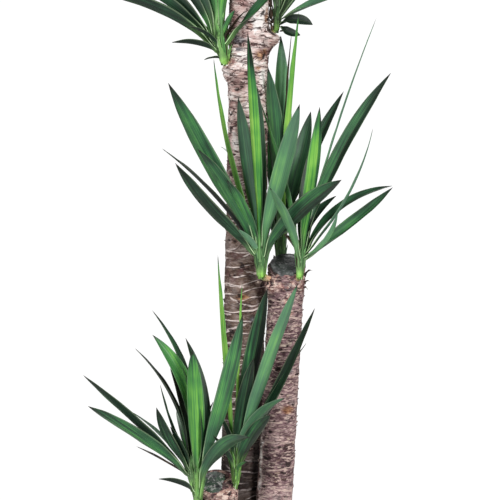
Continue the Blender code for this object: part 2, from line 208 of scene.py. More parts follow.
def makeLeafMaterial():
    # living yucca leaf, fibrous under a thin waxy cuticle: half glossy, long parallel veins, pale hard margin
    material, add, place, read = newMaterial("yuccaLeafCuticle", (
        "along", "across", "millimetres", "nearTone", "farTone", "bloom", "dryness", "sheath", "lime", "cork",
        "heel", "shade", "leafSeed"))
    along = read["along"]
    edge = add("Math", (read["across"],), "ABSOLUTE")
    side = add("MapRange", (read["across"], -0.09, 0.09, 0.0, 1.0), **smooth)
    tone = add("Mix", {"Factor": side, "A": read["farTone"], "B": read["nearTone"]})
    # streaks run the whole blade, about 4 mm apart, and veins about 1 mm apart
    length = add("Math", (along, 2.6), "MULTIPLY")
    fibres = []
    for perMillimetre, detail in ((0.24, 2.0), (0.95, 1.0)):
        run = add("Math", (read["millimetres"], perMillimetre), "MULTIPLY")
        run = add("CombineXYZ", (run, length, read["leafSeed"]))
        fibres.append(add("TexNoise", {"Vector": run, "Scale": 1.0, "Detail": detail}))
    streak, vein = fibres
    cloud = add("TexNoise", {"Vector": place, "Scale": 24.0, "Detail": 2.0})
    # the tone follows streaks, veins and clouds, falls towards the margins and the tip, and falls near the base as
    # painted shade where the blades crowd
    for *shift, settings in (
            (streak, 0.28, 0.72, -0.11, 0.11, {}), (vein, 0.3, 0.7, -0.14, 0.14, {}),
            (cloud, 0.3, 0.7, -0.1, 0.1, {}), (edge, 0.68, 0.98, 0.01, -0.12, smooth),
            (along, 0.0, 0.22, -0.15, 0.0, smooth), (along, 0.78, 1.0, 0.0, -0.22, smooth)):
        tone = add("Math", (tone, add("MapRange", shift, **settings)), "ADD")
    color = add("ValToRGB", (tone,), stops=(
        (0.0, "#060e08"), (0.2, "#112a1b"), (0.4, "#285935"), (0.6, "#458840"), (0.8, "#70b147"),
        (1.0, "#a0d262")))
    # clasping bases are pale sage, and the leafless stub under them is lime green with the rings of old leaves
    base = add("Mix", {"Factor": read["lime"], "A": "#86b074", "B": "#8fc85a"}, **rgba)
    height = add("SeparateXYZ", (place,)).outputs["Z"]
    height = add("Math", (height, 420.0), "MULTIPLY")
    height = add("Math", (height, add("MapRange", (cloud, 0.3, 0.7, -2.2, 2.2))), "ADD")
    ring = add("MapRange", (add("Math", (height,), "FRACT"), 0.0, 0.3, 0.5, 0.0), **smooth)
    ring = add("Math", (ring, read["lime"]), "MULTIPLY")
    light = add("MapRange", (streak, 0.4, 0.6, 0.34, 1.42))
    for part in (add("Math", (1.0, ring), "SUBTRACT"),
                 add("MapRange", (edge, 0.2, 0.8, 0.84, 1.16), **smooth)):
        light = add("Math", (light, part), "MULTIPLY")
    base = add("VectorMath", {0: base, "Scale": light}, "SCALE")
    # each clasping base has a dark line just inside its pale margin, which shows most there: painted shadow between
    # neighbouring bases
    line = add("MapRange", (edge, 0.44, 0.72, 0.0, 1.0), **smooth)
    for part in ((edge, 0.8, 0.88, 0.9, 0.0), (along, 0.02, 0.2, 1.0, 0.0)):
        line = add("Math", (line, add("MapRange", part, **smooth)), "MULTIPLY")
    margin = add("MapRange", (edge, 0.84, 0.93, 0.0, 1.0), **smooth)
    margin = add("Math", (margin, add("MapRange", (along, 0.04, 0.28, 0.95, 0.15), **smooth)), "MULTIPLY")
    keel = add("MapRange", (edge, 0.0, 0.07, 0.13, 0.0), **smooth)
    tip = add("MapRange", (along, 0.95, 0.982, 0.0, 0.9), **smooth)
    cork = add("ValToRGB", (streak,), stops=((0.3, "#33291b"), (0.5, "#5d5338"), (0.7, "#94845f")))
    crumbs = add("TexNoise", {"Vector": place, "Scale": 230.0, "Detail": 3.0, "Roughness": 0.7})
    callus = add("ValToRGB", (crumbs,), stops=(
        (0.36, "#3d241d"), (0.45, "#a06a48"), (0.53, "#ecd0b4"), (0.6, "#c98a5c"), (0.68, "#5a3628")))
    dry = add("ValToRGB", (streak,), stops=((0.3, "#15100c"), (0.55, "#3b2b20"), (0.75, "#84705a")))
    # the grey-green coat is waxy bloom and painted sheen; the dark line and the black coat are painted shade
    for mask, coat in (
            (read["bloom"], "#71977f"), (read["sheath"], base), (line, "#1c3419"), (read["cork"], cork),
            (read["heel"], callus), (margin, "#c3e2ae"), (keel, "#8fb86c"), (read["shade"], "#000000"),
            (tip, "#1c1a14"), (read["dryness"], dry)):
        color = add("Mix", {"Factor": mask, "A": color, "B": coat}, **rgba)
    rough = add("MapRange", (streak, 0.3, 0.7, 0.38, 0.54))
    bump = add("Bump", {"Strength": 0.5, "Distance": 0.3 * mm, "Height": vein})
    return setShader(material, {"Base Color": color, "Roughness": rough, "Normal": bump}, IOR=1.42,
                     Specular_IOR_Level=0.4)


# ring pitch, ring width and wander in millimetres, ring strength, body tones dark to light, ring tone
barkLooks = {
    "tall": {"pitch": 15.0, "width": 1.15, "wander": 15.0, "wanderScale": 8.0, "dashScale": 20.0,
             "strength": 1.0, "ring": "#eddcd7", "fleck": 0.16, "mottle": 0.1, "patch": "#5b3538",
             "body": ("#241916", "#4a3831", "#745f53", "#93807a", "#c2b2a8")},
    "medium": {"pitch": 9.0, "width": 0.8, "wander": 8.0, "wanderScale": 30.0, "dashScale": 62.0,
               "strength": 0.5, "ring": "#d9bfb4", "fleck": 0.8, "mottle": 0.2, "patch": "#4a2d35",
               "body": ("#2b1c20", "#5a4146", "#83666a", "#a08283", "#c9afab")},
    "low": {"pitch": 8.0, "width": 0.9, "wander": 7.0, "wanderScale": 30.0, "dashScale": 62.0, "strength": 0.6,
            "ring": "#dcc4b0", "fleck": 0.7, "mottle": 0.2, "patch": "#6a3a38",
            "body": ("#261718", "#543a38", "#7f6160", "#a4857f", "#d3b9ae")},
}
barkKeys = ("scarGap", "plate", "paleness", "cutWood", "hollow", "callus", "rust", "smudge", "damp")


def makeBarkMaterial(name):
    # corky yucca bark: dull, thin ridges of old leaf scars, flakes and plates of different tone between them
    look = barkLooks[name]
    pitch, width, ringTone = look["pitch"], look["width"], look["ring"]
    material, add, place, read = newMaterial("yuccaCorkBark_" + name, barkKeys)
    # pale young bark, and the painted rim light along the left edge of the medium cane
    pale = read["paleness"]
    darkRest = add("Math", (1.0, pale), "SUBTRACT")
    flat = add("Mapping", {"Vector": place, "Scale": (1.0, 1.0, 3.4)})
    lying = add("Mapping", {"Vector": place, "Scale": (1.0, 1.0, 3.6)})
    patches, plates, tint, flecks, grain, wander, dash, strokes = (
        add("TexNoise", {"Vector": vector, "Scale": scale, "Detail": detail, "Roughness": rough})
        for vector, scale, detail, rough in (
            (place, 36.0, 3.0, 0.6), (place, 27.0, 2.0, 0.5), (place, 58.0, 2.0, 0.5), (flat, 95.0, 3.0, 0.65),
            (flat, 300.0, 2.0, 0.5), (place, look["wanderScale"], 2.0, 0.5),
            (flat, look["dashScale"], 1.0, 0.5), (lying, 105.0, 2.5, 0.6)))
    # the pale young bark has larger and smoother patches
    plateShift = add("MapRange", (read["plate"], 0.0, 1.0, -0.12, 0.12))
    tones = []
    for patch, mottle in ((patches, look["mottle"]), (plates, 0.09)):
        tone = add("Math", (patch, plateShift), "ADD")
        tones.append(add("Math", (tone, add("MapRange", (flecks, 0.3, 0.7, -mottle, mottle))), "ADD"))
    color = add("ValToRGB", (tones[0],), stops=tuple(zip((0.22, 0.37, 0.49, 0.62, 0.8), look["body"])))
    paleBark = add("ValToRGB", (tones[1],), stops=(
        (0.27, "#352222"), (0.37, "#7d5b59"), (0.46, "#b99b96"), (0.55, "#dfcac5"), (0.7, "#fff8f5")))
    # patches of older, redder bark, and a pink cast on the pale plates
    redMask = add("MapRange", (tint, 0.56, 0.68, 0.0, 0.6), **smooth)
    redBark = add("Mix", {"Factor": pale, "A": look["patch"], "B": "#c39c94"}, **rgba)
    greyMask = add("MapRange", (tint, 0.44, 0.34, 0.0, 0.45), **smooth)
    # ridges round the cane, wandering and broken into dashes, each with a painted shadow under it
    height = add("SeparateXYZ", (place,)).outputs["Z"]
    height = add("Math", (height, 1000.0 / pitch), "MULTIPLY")
    sway = look["wander"] / pitch
    height = add("Math", (height, add("MapRange", (wander, 0.3, 0.7, -sway, sway))), "ADD")
    above = add("Math", (add("Math", (height,), "FRACT"), pitch), "MULTIPLY")
    ridge = add("MapRange", (above, width, width * 2.2, 1.0, 0.0), **smooth)
    for part in (add("MapRange", (dash, 0.42, 0.5, 0.0, look["strength"]), **smooth), darkRest):
        ridge = add("Math", (ridge, part), "MULTIPLY")
    ridgeShadow = add("MapRange", (above, pitch - width * 1.8, pitch - 0.1, 0.0, 0.7), **smooth)
    # pale flecks lying across, about 3 mm tall and 9 mm long, with dark gaps between them
    fleckPale = add("MapRange", (strokes, 0.54, 0.62, 0.0, look["fleck"]), **smooth)
    fleckPale = add("Math", (fleckPale, darkRest), "MULTIPLY")
    fleckDark = add("MapRange", (strokes, 0.44, 0.37, 0.0, look["fleck"]), **smooth)
    fleckDark = add("Math", (fleckDark, add("MapRange", (pale, 0.0, 1.0, 0.75, 0.2))), "MULTIPLY")
    # maroon creases that wander mostly sideways
    crease = add("TexNoise", {"Vector": lying, "Scale": 33.0, "Detail": 2.0, "Distortion": 0.6})
    crease = add("Math", (add("Math", (crease, 0.5), "SUBTRACT"),), "ABSOLUTE")
    depth = add("MapRange", (pale, 0.0, 1.0, 0.6, 0.95))
    crease = add("MapRange", (crease, 0.006, 0.022, depth, 0.0), **smooth)
    # scar lines in the mesh, about 1.5 mm wide and broken by noise
    gap = add("Math", (read["scarGap"], add("MapRange", (flecks, 0.3, 0.7, -1.3, 1.3))), "ADD")
    line = add("MapRange", (gap, 0.4, 1.7, 0.85, 0.0), **smooth)
    lineTone = add("Mix", {"Factor": pale, "A": ringTone, "B": "#4b3735"}, **rgba)
    # callus and the frayed rim of the cut are a mosaic of cream, rust, maroon and nearly black flakes
    drift = add("VectorMath", (place, add("MapRange", (flecks, 0.3, 0.7, -0.004, 0.004))), "ADD")
    flake = add("TexVoronoi", {"Vector": drift, "Scale": 170.0}).outputs["Color"]
    flake = add("SeparateColor", (flake,)).outputs["Red"]
    flake = add("Math", (flake, add("MapRange", (flecks, 0.3, 0.7, -0.2, 0.2))), "ADD")
    callus = add("ValToRGB", (flake,), stops=(
        (0.08, "#452529"), (0.3, "#9e6f63"), (0.5, "#dcb4a4"), (0.75, "#f8e6da"), (0.95, "#80494a")))
    wood = add("ValToRGB", (flake,), stops=(
        (0.1, "#1a1118"), (0.28, "#3c242c"), (0.4, "#7c5558"), (0.53, "#cba294"), (0.67, "#f6e3d6"),
        (0.74, "#a2695a"), (0.86, "#4a2a34"), (0.96, "#1e141c")))
    rust = add("ValToRGB", (flecks,), stops=((0.35, "#3b241b"), (0.5, "#8c5b3c"), (0.65, "#cfa277")))
    soot = add("ValToRGB", (flecks,), stops=((0.38, "#2f3137"), (0.52, "#6a6a70"), (0.66, "#aaa3a4")))
    hollow = add("MapRange", (read["hollow"], 0.15, 0.7, 0.0, 0.9), **smooth)
    for mask, coat in (
            (pale, paleBark), (redMask, redBark), (greyMask, "#7a716e"), (ridgeShadow, "#3b2c29"), (ridge, ringTone),
            (fleckDark, "#3f2c31"), (fleckPale, ringTone), (crease, "#4a2c2d"), (line, lineTone),
            (read["callus"], callus), (read["rust"], rust), (read["smudge"], soot), (hollow, "#221615"),
            (read["cutWood"], wood)):
        color = add("Mix", {"Factor": mask, "A": color, "B": coat}, **rgba)
    # painted shade: the foot of the tall cane, in the shadow of the heads and the medium cane, and the side of the
    # medium cane under the leaves are darkened
    dry = add("MapRange", (read["damp"], 0.0, 1.0, 1.0, 0.33))
    color = add("VectorMath", {0: color, "Scale": dry}, "SCALE")
    relief = flecks
    for part in (grain, ridge, strokes):
        relief = add("Math", (relief, part), "ADD")
    relief = add("Math", (relief, crease), "SUBTRACT")
    bump = add("Bump", {"Strength": 0.9, "Distance": 1.1 * mm, "Height": relief})
    return setShader(material, {"Base Color": color, "Normal": bump}, Roughness=0.86, IOR=1.4)


def makeWaxMaterial():
    # pruning wax brushed over a sawn end: dark grey, half dull, faint brush rings and dust
    material, add, place, read = newMaterial("brushedPruningWax", ("ring", "moss"))
    dust = add("TexNoise", {"Vector": place, "Scale": 160.0, "Detail": 4.0, "Roughness": 0.65})
    cloud = add("TexNoise", {"Vector": place, "Scale": 45.0, "Detail": 2.0})
    brush = add("CombineXYZ", (add("Math", (read["ring"], 3.6), "MULTIPLY"), cloud, 0.0))
    brush = add("TexNoise", {"Vector": brush, "Scale": 3.0, "Detail": 1.0})
    both = add("Mix", {"Factor": 0.45, "A": dust, "B": brush})
    color = add("ValToRGB", (both,), stops=(
        (0.32, "#161618"), (0.46, "#2b2b2d"), (0.56, "#454547"), (0.7, "#7c7c7e")))
    # green algae and pale lime specks on the older seals
    for pattern, low, high, coat in ((cloud, 0.4, 0.6, "#3f5a45"), (dust, 0.53, 0.6, "#b3b0ae")):
        mask = add("MapRange", (pattern, low, high, 0.0, 1.0), **smooth)
        mask = add("Math", (mask, read["moss"]), "MULTIPLY")
        color = add("Mix", {"Factor": mask, "A": color, "B": coat}, **rgba)
    rough = add("MapRange", (dust, 0.3, 0.7, 0.5, 0.75))
    bump = add("Bump", {"Strength": 0.4, "Distance": 0.5 * mm, "Height": both})
    return setShader(material, {"Base Color": color, "Roughness": rough, "Normal": bump}, IOR=1.44)


def makeSoilMaterial():
    # damp peat potting mix: nearly black brown, matt, with paler fibres
    material, add, place = newMaterial("peatPottingMix")[:3]
    crumbs = add("TexVoronoi", {"Vector": place, "Scale": 260.0})
    cloud = add("TexNoise", {"Vector": place, "Scale": 90.0, "Detail": 4.0, "Roughness": 0.7})
    both = add("Mix", {"Factor": 0.4, "A": cloud, "B": crumbs.outputs["Distance"]})
    color = add("ValToRGB", (both,), stops=(
        (0.2, "#160f0b"), (0.4, "#2b1d14"), (0.55, "#46301f"), (0.75, "#6f5138")))
    bump = add("Bump", {"Strength": 0.8, "Distance": 1.5 * mm, "Height": both})
    return setShader(material, {"Base Color": color, "Normal": bump}, Roughness=0.95, IOR=1.35)


def makeCrumbMaterial():
    # crumbs of peat, bark chips and a little perlite lying on the soil
    material, add, place, read = newMaterial("peatAndBarkCrumbs", ("crumbSeed",))
    cloud = add("TexNoise", {"Vector": place, "Scale": 320.0, "Detail": 3.0})
    tone = add("Math", (read["crumbSeed"], add("MapRange", (cloud, 0.3, 0.7, -0.1, 0.1))), "ADD")
    color = add("ValToRGB", (tone,), stops=(
        (0.0, "#1a120d"), (0.45, "#35241a"), (0.7, "#54392a"), (0.9, "#7d5c41"), (0.965, "#8a6a4c"),
        (0.975, "#d8d2c6")))
    bump = add("Bump", {"Strength": 0.6, "Distance": 0.5 * mm, "Height": cloud})
    return setShader(material, {"Base Color": color, "Normal": bump}, Roughness=0.9, IOR=1.4)


def makePotMaterial():
    # injection moulded polypropylene, spark-textured: even dark grey, fine grain, soft highlight
    material, add, place = newMaterial("mouldedPolypropylene")[:3]
    grain = add("TexNoise", {"Vector": place, "Scale": 900.0, "Detail": 2.0})  # drawn coarse to show
    scuff = add("TexNoise", {"Vector": place, "Scale": 14.0, "Detail": 5.0, "Roughness": 0.7})
    dust = add("MapRange", (scuff, 0.52, 0.72, 0.0, 0.35), **smooth)
    color = add("Mix", {"Factor": dust, "A": "#2b2d30", "B": "#4a4744"}, **rgba)
    rough = add("MapRange", (scuff, 0.3, 0.7, 0.38, 0.55))
    bump = add("Bump", {"Strength": 0.3, "Distance": 0.15 * mm, "Height": grain})
    return setShader(material, {"Base Color": color, "Roughness": rough, "Normal": bump}, IOR=1.49)


def makeFlakeMaterial():
    # papery flakes of old bark that stand off the cane: matt, each of its own tone
    material, add, place, read = newMaterial("looseBarkFlake", ("flakeTone", "paleness"))
    cloud = add("TexNoise", {"Vector": place, "Scale": 300.0, "Detail": 2.0})
    tone = add("Math", (read["flakeTone"], add("MapRange", (cloud, 0.3, 0.7, -0.2, 0.2))), "ADD")
    dull = add("ValToRGB", (tone,), stops=(
        (0.1, "#2f2022"), (0.4, "#5f4744"), (0.7, "#9a8076"), (0.95, "#dcc8ba")))
    light = add("ValToRGB", (tone,), stops=(
        (0.05, "#4a3330"), (0.25, "#9b7f79"), (0.5, "#d3bcb6"), (0.9, "#f4e9e5")))
    # paler on pale young bark and in the painted rim light
    color = add("Mix", {"Factor": read["paleness"], "A": dull, "B": light}, **rgba)
    bump = add("Bump", {"Strength": 0.5, "Distance": 0.4 * mm, "Height": cloud})
    return setShader(material, {"Base Color": color, "Normal": bump}, Roughness=0.88, IOR=1.4)


say("materials")
leafMaterial = makeLeafMaterial()
barkMaterials = {name: makeBarkMaterial(name) for name in barkLooks}
waxMaterial = makeWaxMaterial()
soilMaterial = makeSoilMaterial()
crumbMaterial = makeCrumbMaterial()
potMaterial = makePotMaterial()
flakeMaterial = makeFlakeMaterial()


# Canes, in millimetres, as in the solids

# below the first of the two Below heights a cane gets painted shade all round, below the second on the side under
# the leaves
canes = {
    "tall": {
        "foot": (-18, 34, 88), "top": (7, 31, 1288), "bow": 3, "radius": 29.0, "flare": 2.0, "wax": 28.0,
        "sides": 104, "pitch": 1.7, "scarPitch": 13.5, "paleFrom": 930, "paleTo": 1050, "paintedShadeBelow": 665,
        "shadedBelow": -200, "belly": 1.8, "bare": 0.0, "moss": 0.1, "seed": 11},
    "medium": {
        "foot": (26, 1, 108), "top": (64, -5, 856), "bow": -1.5, "radius": 25.8, "flare": 2.0, "wax": 25.6,
        "sides": 92, "pitch": 1.6, "scarPitch": 16.0, "paleFrom": 2000, "paleTo": 2100, "paintedShadeBelow": -200,
        "shadedBelow": 730, "belly": 1.2, "bare": 0.0, "moss": 0.15, "seed": 23},
    "low": {
        "foot": (-33, -42, 88), "top": (-43, -45, 533), "bow": 0, "radius": 28.0, "flare": 3.0, "wax": 22.4,
        "sides": 104, "pitch": 1.7, "scarPitch": 14.0, "paleFrom": 2000, "paleTo": 2100, "paintedShadeBelow": -200,
        "shadedBelow": -200, "belly": 0.0, "bare": 0.62, "moss": 0.7, "seed": 37},
}
barkShape = {
    "soilLevel": 228.0, "cutSlope": 0.5, "flareLength": 70.0, "swellAngle": 0.55, "swellBelow": 18.0,
    "swellAbove": 8.0, "swellDrop": 15.0, "socketDrop": 12.0, "scarHalfSpan": 1.3, "scarRise": 12.0,
    "ledge": 1.0, "groove": 1.0, "lumps": 1.3, "grit": 0.4, "nicks": 2.6, "callusReach": 15.0, "frayed": 34.0,
}
# Marks on the bark: height, bearing from +X in degrees (the viewer looks at -90), half width and half height,
# depth, and what it is
marks = {
    "tall": [
        (1169, -55, 9, 9, -1.5, "rust"), (1174, -38, 5, 6, 1.5, "rust"), (1101, -100, 9, 11, -1.2, "eye"),
        (1118, -125, 5, 3, 2.4, "pit"), (1192, -122, 17, 6, 0.4, "smudge"), (1178, -125, 15, 4, 0.8, "smudge"),
        (1197, -136, 7, 5, 0.5, "smudge"), (1157, -147, 11, 10, -0.6, "callus"),
        (1212, -84, 5, 4, -0.4, "callus"),
        (1101, -158, 3, 5, 2.6, "pit"), (1087, -160, 3, 4, 2.6, "pit"), (1081, -148, 4, 3, 2.2, "pit"),
        (1058, -150, 4, 5, 2.0, "pit"), (1008, -158, 3, 4, 2.4, "pit"), (990, -145, 5, 4, 2.2, "pit"),
        (1166, -42, 4, 4, 2.4, "pit"), (1150, -62, 6, 4, 1.2, "rust"), (1228, -30, 6, 16, 0.8, "rust"),
        (1205, -20, 5, 8, 2.0, "pit"), (600, -70, 12, 16, 0.6, "rust"), (720, -110, 10, 8, 0.8, "pit"),
        (806, -95, 11, 5, 0.6, "rust"), (770, -60, 9, 7, 0.8, "smudge")],
    "medium": [
        (836, -148, 7, 11, -1.2, "callus"), (828, -132, 8, 4, -0.8, "callus"),
        (838, -72, 5, 7, -0.5, "callus"),
        (829, -60, 6, 5, 0.9, "pit"), (812, -88, 5, 14, -0.5, "callus"),
        # the pale band at 550 down the left edge of the medium cane is a painted rim light
        (786, -80, 9, 6, -0.5, "callus"), (550, -152, 6, 70, -1.2, "paintedRimLight"),
        (834, -86, 7, 8, 0.3, "smudge"),
        (700, -70, 10, 6, 0.5, "smudge"), (640, -60, 12, 8, 0.6, "rust")],
    "low": [
        (530, -58, 7, 6, -0.8, "callus"), (520, -120, 8, 7, 0.8, "pit"), (520, -84, 5, 6, 0.8, "pit"),
        (500, -60, 7, 8, 0.6, "rust")],
}
# Long cracks: height and bearing of both ends, and depth
cracks = {
    "tall": [(1217, -98, 1204, -48, 1.6), (1143, -168, 1130, -84, 2.0), (1128, -150, 1126, -88, 1.2),
             (1140, -70, 1139, -40, 1.4), (1184, -150, 1189, -96, 1.4), (1160, -128, 1163, -98, 1.2),
             (1150, -132, 1155, -96, 1.0), (1198, -50, 1192, -24, 1.4), (1112, -80, 1120, -34, 1.2),
             (1139, -140, 1148, -104, 1.3), (1088, -70, 1092, -28, 1.0), (1066, -160, 1072, -104, 1.0)],
    "medium": [], "low": [],
}


def caneCenter(cane, height):
    foot, top = Vector(cane["foot"]), Vector(cane["top"])
    share = (height - foot.z) / (top.z - foot.z)
    point = foot.lerp(top, share)
    point.x += cane["bow"] * 4.0 * share * (1.0 - share)
    return point


# Heads: root is where the green stem turns upwards beside its cane, lean is how far the growing point is
# from it. Each leaf: tip from the root, width, arch, turn in degrees, and its look.

# dim is painted shade over the lower leaves, stem and scales of a head
heads = {
    "medium_left": {
        "cane": "medium", "root": (24, -24, 846), "lean": (-1, -2, 50), "swell": 7, "girth": 1.1, "leaves": [
            (-134, -105, 284, 33, -3, 32, "mid"), (-70, -8, 318, 24, -12, 0, "lime"),
            (-147, 4, 185, 22, 10, 0, "black"), (-126, -45, 166, 31, -10, 30, "dark"),
            (-34, -40, 262, 26, 0, 25, "blue"), (-20, -78, 357, 19, 5, -10, "darkTop"),
            (-6, -34, 278, 22, 6, 0, "blue"), (55, -92, 253, 30, 0, -22, "silver"),
            (115, -112, 145, 33, 11, -40, "darkEdge"), (-50, -62, 142, 20, 5, 25, "mid"),
            (-92, -84, 188, 24, 8, 30, "mid"), (-34, -36, 68, 15, 1, 15, "sage")]},
    "medium_right": {
        "cane": "medium", "root": (82, -34, 846), "lean": (0, -2, 46), "swell": 3, "girth": 0.86,
        "scraps": [(6, -4, -3, 12, -4, 8, 6.5), (6, -5, -14, 8, -4, 3, 5.5), (5, -6, -20, 6, -5, -3, 5.0)],
        "leaves": [
            (-61, -12, 259, 22, 4, -11, "light"), (27, -44, 248, 30, -11, 10, "brightDark"),
            (136, 40, 297, 26, 15, 42, "midDark"), (115, 60, 379, 9, 7, -28, "grey"),
            (-46, -105, 134, 20, 4, -5, "silver"), (54, 10, 115, 20, 11, 30, "dark"),
            (136, -15, 129, 28, -6, 36, "mid"), (54, -40, 93, 14, -15, -10, "silver"),
            (106, -20, 216, 12, -17, 8, "grey"), (138, 24, 129, 22, 23, 24, "dark"),
            (-24, -25, 61, 17, 2, 0, "dead"), (24, 52, 197, 24, 6, 10, "dark")]},
    "medium_back": {
        "cane": "medium", "root": (54, 29, 849), "lean": (0, 4, 74), "swell": 3, "girth": 1.12,
        "cork": 0.9, "dim": 0.12,
        "scraps": [(-8, -7, 6, -3, -3, 14, 6.0), (2, -10, 4, 3, -4, 13, 7.0), (8, -7, 5, 5, -3, 12, 6.0)],
        "leaves": [
            (-20, -34, 303, 32, 5, 0, "forest"), (0, 20, 350, 32, 3, 22, "silver"),
            (16, 4, 355, 9, 3, 0, "dead"), (26, -40, 384, 22, 0, 35, "edgeLit"),
            (46, 35, 235, 29, -2, 38, "forest"), (97, 60, 265, 22, 8, 35, "dark")],
        "hidden": (5, 80, 118, 4)},
    "low_left": {
        "cane": "low", "root": (-70, -73, 511), "lean": (1, -2, 44), "swell": 6, "girth": 1.0,
        "fresh": 0.55, "clean": 0.85, "scraps": [
            (-7, -4, -10, -14, -6, 8, 6.5), (-8, -6, -18, -9, -5, -8, 7.0), (-6, -9, -22, -3, -6, -10, 6.5),
            (8, -6, -14, 5, -5, -10, 6.5)], "leaves": [
            (-7, -41, 230, 30, 4, 0, "fresh"), (67, -51, 284, 29, -6, -35, "cool"),
            (77, -96, 112, 26, 21, -42, "forest"), (-57, -26, 38, 18, 3, 30, "black"),
            (-18, 19, 241, 24, 25, 0, "dark"), (23, 10, 147, 22, 6, -10, "mid"),
            (-8, 20, 115, 20, 4, 20, "mid")]},
    "low_back": {
        "cane": "low", "root": (-77, -36, 527), "lean": (-3, 3, 38), "swell": 2, "girth": 0.85, "leaves": [
            (-162, -30, 171, 24, -1, 34, "midDark"), (-154, -50, 128, 30, 2, 40, "mid"),
            (-91, 20, 107, 20, 6, 20, "grey"), (-61, 4, 227, 29, 27, -60, "fresh"),
            (-63, 45, 259, 22, 31, 12, "dark"), (-89, 40, 202, 17, 21, 12, "dark"),
            (-49, -10, 154, 13, -5, 0, "dark"), (-54, -30, 123, 21, -9, 30, "dark"),
            (-35, 15, 175, 20, 4, 0, "dark"), (-85, -14, 62, 8, 1, 0, "dead"),
            (-5, 95, 155, 25, 14, 15, "mid"), (-27, 130, 100, 24, 20, -15, "mid"),
            (17, 110, 65, 22, 18, 0, "dark"), (-19, 60, 187, 24, 8, 0, "mid"),
            (-34, -15, 92, 22, -2, 10, "dark")]},
    "low_right": {
        "cane": "low", "root": (-14, -53, 534), "lean": (1, -2, 44), "swell": 2, "girth": 0.8,
        "foot": 0.45, "fresh": 0.8, "clean": 0.85, "sage": 34.0, "leaves": [
            (47, -39, 296, 31, 3, -30, "blueBlack"), (91, -79, 308, 26, 3, -20, "silver"),
            (117, -21, 265, 31, -8, 34, "dark"), (105, -5, 211, 16, 6, 0, "dark"),
            (-26, 1, 341, 27, -4, 10, "lime"), (10, -45, 306, 8, 2, 45, "lime"),
            (73, -64, 138, 26, 18, -20, "greyGreen"), (51, -84, 116, 24, 9, -30, "darkEdge"),
            (17, -39, 40, 10, 2, 0, "light"), (-25, -10, 106, 20, 3, 0, "dark"),
            (-33, -64, 83, 12, 3, 0, "dark"), (27, -59, 196, 24, 8, -10, "dark")]},
    "tall_left": {
        "cane": "tall", "root": (-31, 16, 1163), "lean": (-9, -3, 46), "swell": 12, "girth": 1.15,
        "fresh": 0.45, "clean": 0.3, "sage": 84.0, "leaves": [
            (-239, -10, 108, 32, 19, 32, "deep"), (-189, 40, 142, 28, 9, 40, "deep"),
            (-159, 62, 165, 28, 4, 45, "deep"), (-54, -40, 49, 14, 5, 0, "dark"),
            (-78, -20, 25, 19, 5, 25, "black"), (-30, -12, -1, 9, 2, 0, "black"),
            (-75, 20, 229, 28, 6, 45, "mid"), (-45, -30, 259, 28, 6, 20, "light"),
            (-19, 30, 273, 26, 3, 0, "greyGreen"), (21, -55, 269, 26, 5, 0, "brightDark"),
            (125, -92, 155, 25, -2, 60, "dark"), (16, -30, 73, 11, 2, 0, "light"),
            (-111, 8, 209, 28, 8, 45, "darkEdge"), (-137, 30, 194, 30, 6, 45, "midDark"),
            (32, -40, 72, 9, 2, 30, "dead")],
        "hidden": (2, 108, 158, 27)},
    "tall_right": {
        "cane": "tall", "root": (47, 27, 1211), "lean": (3, 0, 44), "swell": 17, "girth": 0.74,
        "dim": 0.58, "scraps": [
            (-8, -6, 12, -1, -3, 24, 7.0), (-9, -5, 30, 0, -2, 24, 7.0), (-6, -8, -4, -5, -2, 16, 5.5),
            (-6, -5, -2, -6, -3, 9, 5.0), (-5, -6, 6, -5, -4, 12, 5.0), (5, -6, -6, 8, -4, -3, 5.0)],
        "leaves": [
            (-20, -30, 211, 27, 4, 0, "mid"), (1, 20, 271, 26, 3, 10, "light"),
            (27, -16, 255, 26, 3, 20, "brightDark"), (53, 22, 225, 24, 6, 25, "bright"),
            (54, -24, 3, 20, 7, 60, "black"), (36, -12, -12, 15, -3, 60, "black"),
            (135, -4, 62, 22, 2, 30, "greyGreen"), (181, 26, 163, 27, 16, 30, "mid")],
        "hidden": (6, -75, 80, 25)},
    "tall_back": {
        "cane": "tall", "root": (6, 70, 1237), "lean": (0, 4, 48), "swell": 3, "girth": 1.0, "leaves": [
            (-6, 6, 315, 28, 3, 0, "mid"), (22, -26, 293, 26, 4, 15, "light"),
            (-30, -20, 297, 27, 4, -15, "mid")],
        "hidden": (11, -15, 200, 30)},
}
# tone of the half to the viewer's left and of the other half (painted light and shade on the two halves of the
# fold), waxy bloom with painted sheen, dryness
leafLooks = {
    "black": (0.0, -0.06, 0.06, 0.0), "dark": (0.24, 0.14, 0.04, 0.0), "darkEdge": (0.34, 0.16, 0.08, 0.0),
    "blue": (0.22, 0.14, 0.22, 0.0), "blueBlack": (0.34, 0.0, 0.05, 0.0), "midDark": (0.42, 0.18, 0.06, 0.0),
    "mid": (0.44, 0.36, 0.06, 0.0), "light": (0.62, 0.54, 0.12, 0.0), "greyGreen": (0.46, 0.4, 0.38, 0.0),
    "grey": (0.4, 0.36, 0.55, 0.0), "bright": (0.8, 0.7, 0.0, 0.0), "sage": (0.6, 0.5, 0.6, 0.0),
    "fresh": (0.6, 0.66, 0.04, 0.0), "brightDark": (0.66, 0.44, 0.0, 0.0), "darkTop": (0.8, 0.64, 0.0, 0.0),
    "edgeLit": (0.84, 1.1, 0.0, 0.0), "silver": (0.54, 0.5, 0.42, 0.0), "cool": (0.42, 0.36, 0.14, 0.0),
    "deep": (0.16, 0.05, 0.07, 0.0), "forest": (0.36, 0.32, 0.16, 0.0), "lime": (0.95, 0.9, 0.0, 0.0),
    "dead": (0.1, 0.1, 0.0, 0.95),
}
topShades = {"darkTop": 0.42, "midDark": 0.1, "mid": 0.08, "cool": 0.1}  # how much darker a look is at its tip
hiddenLooks = ("mid", "dark", "light", "greyGreen", "midDark")
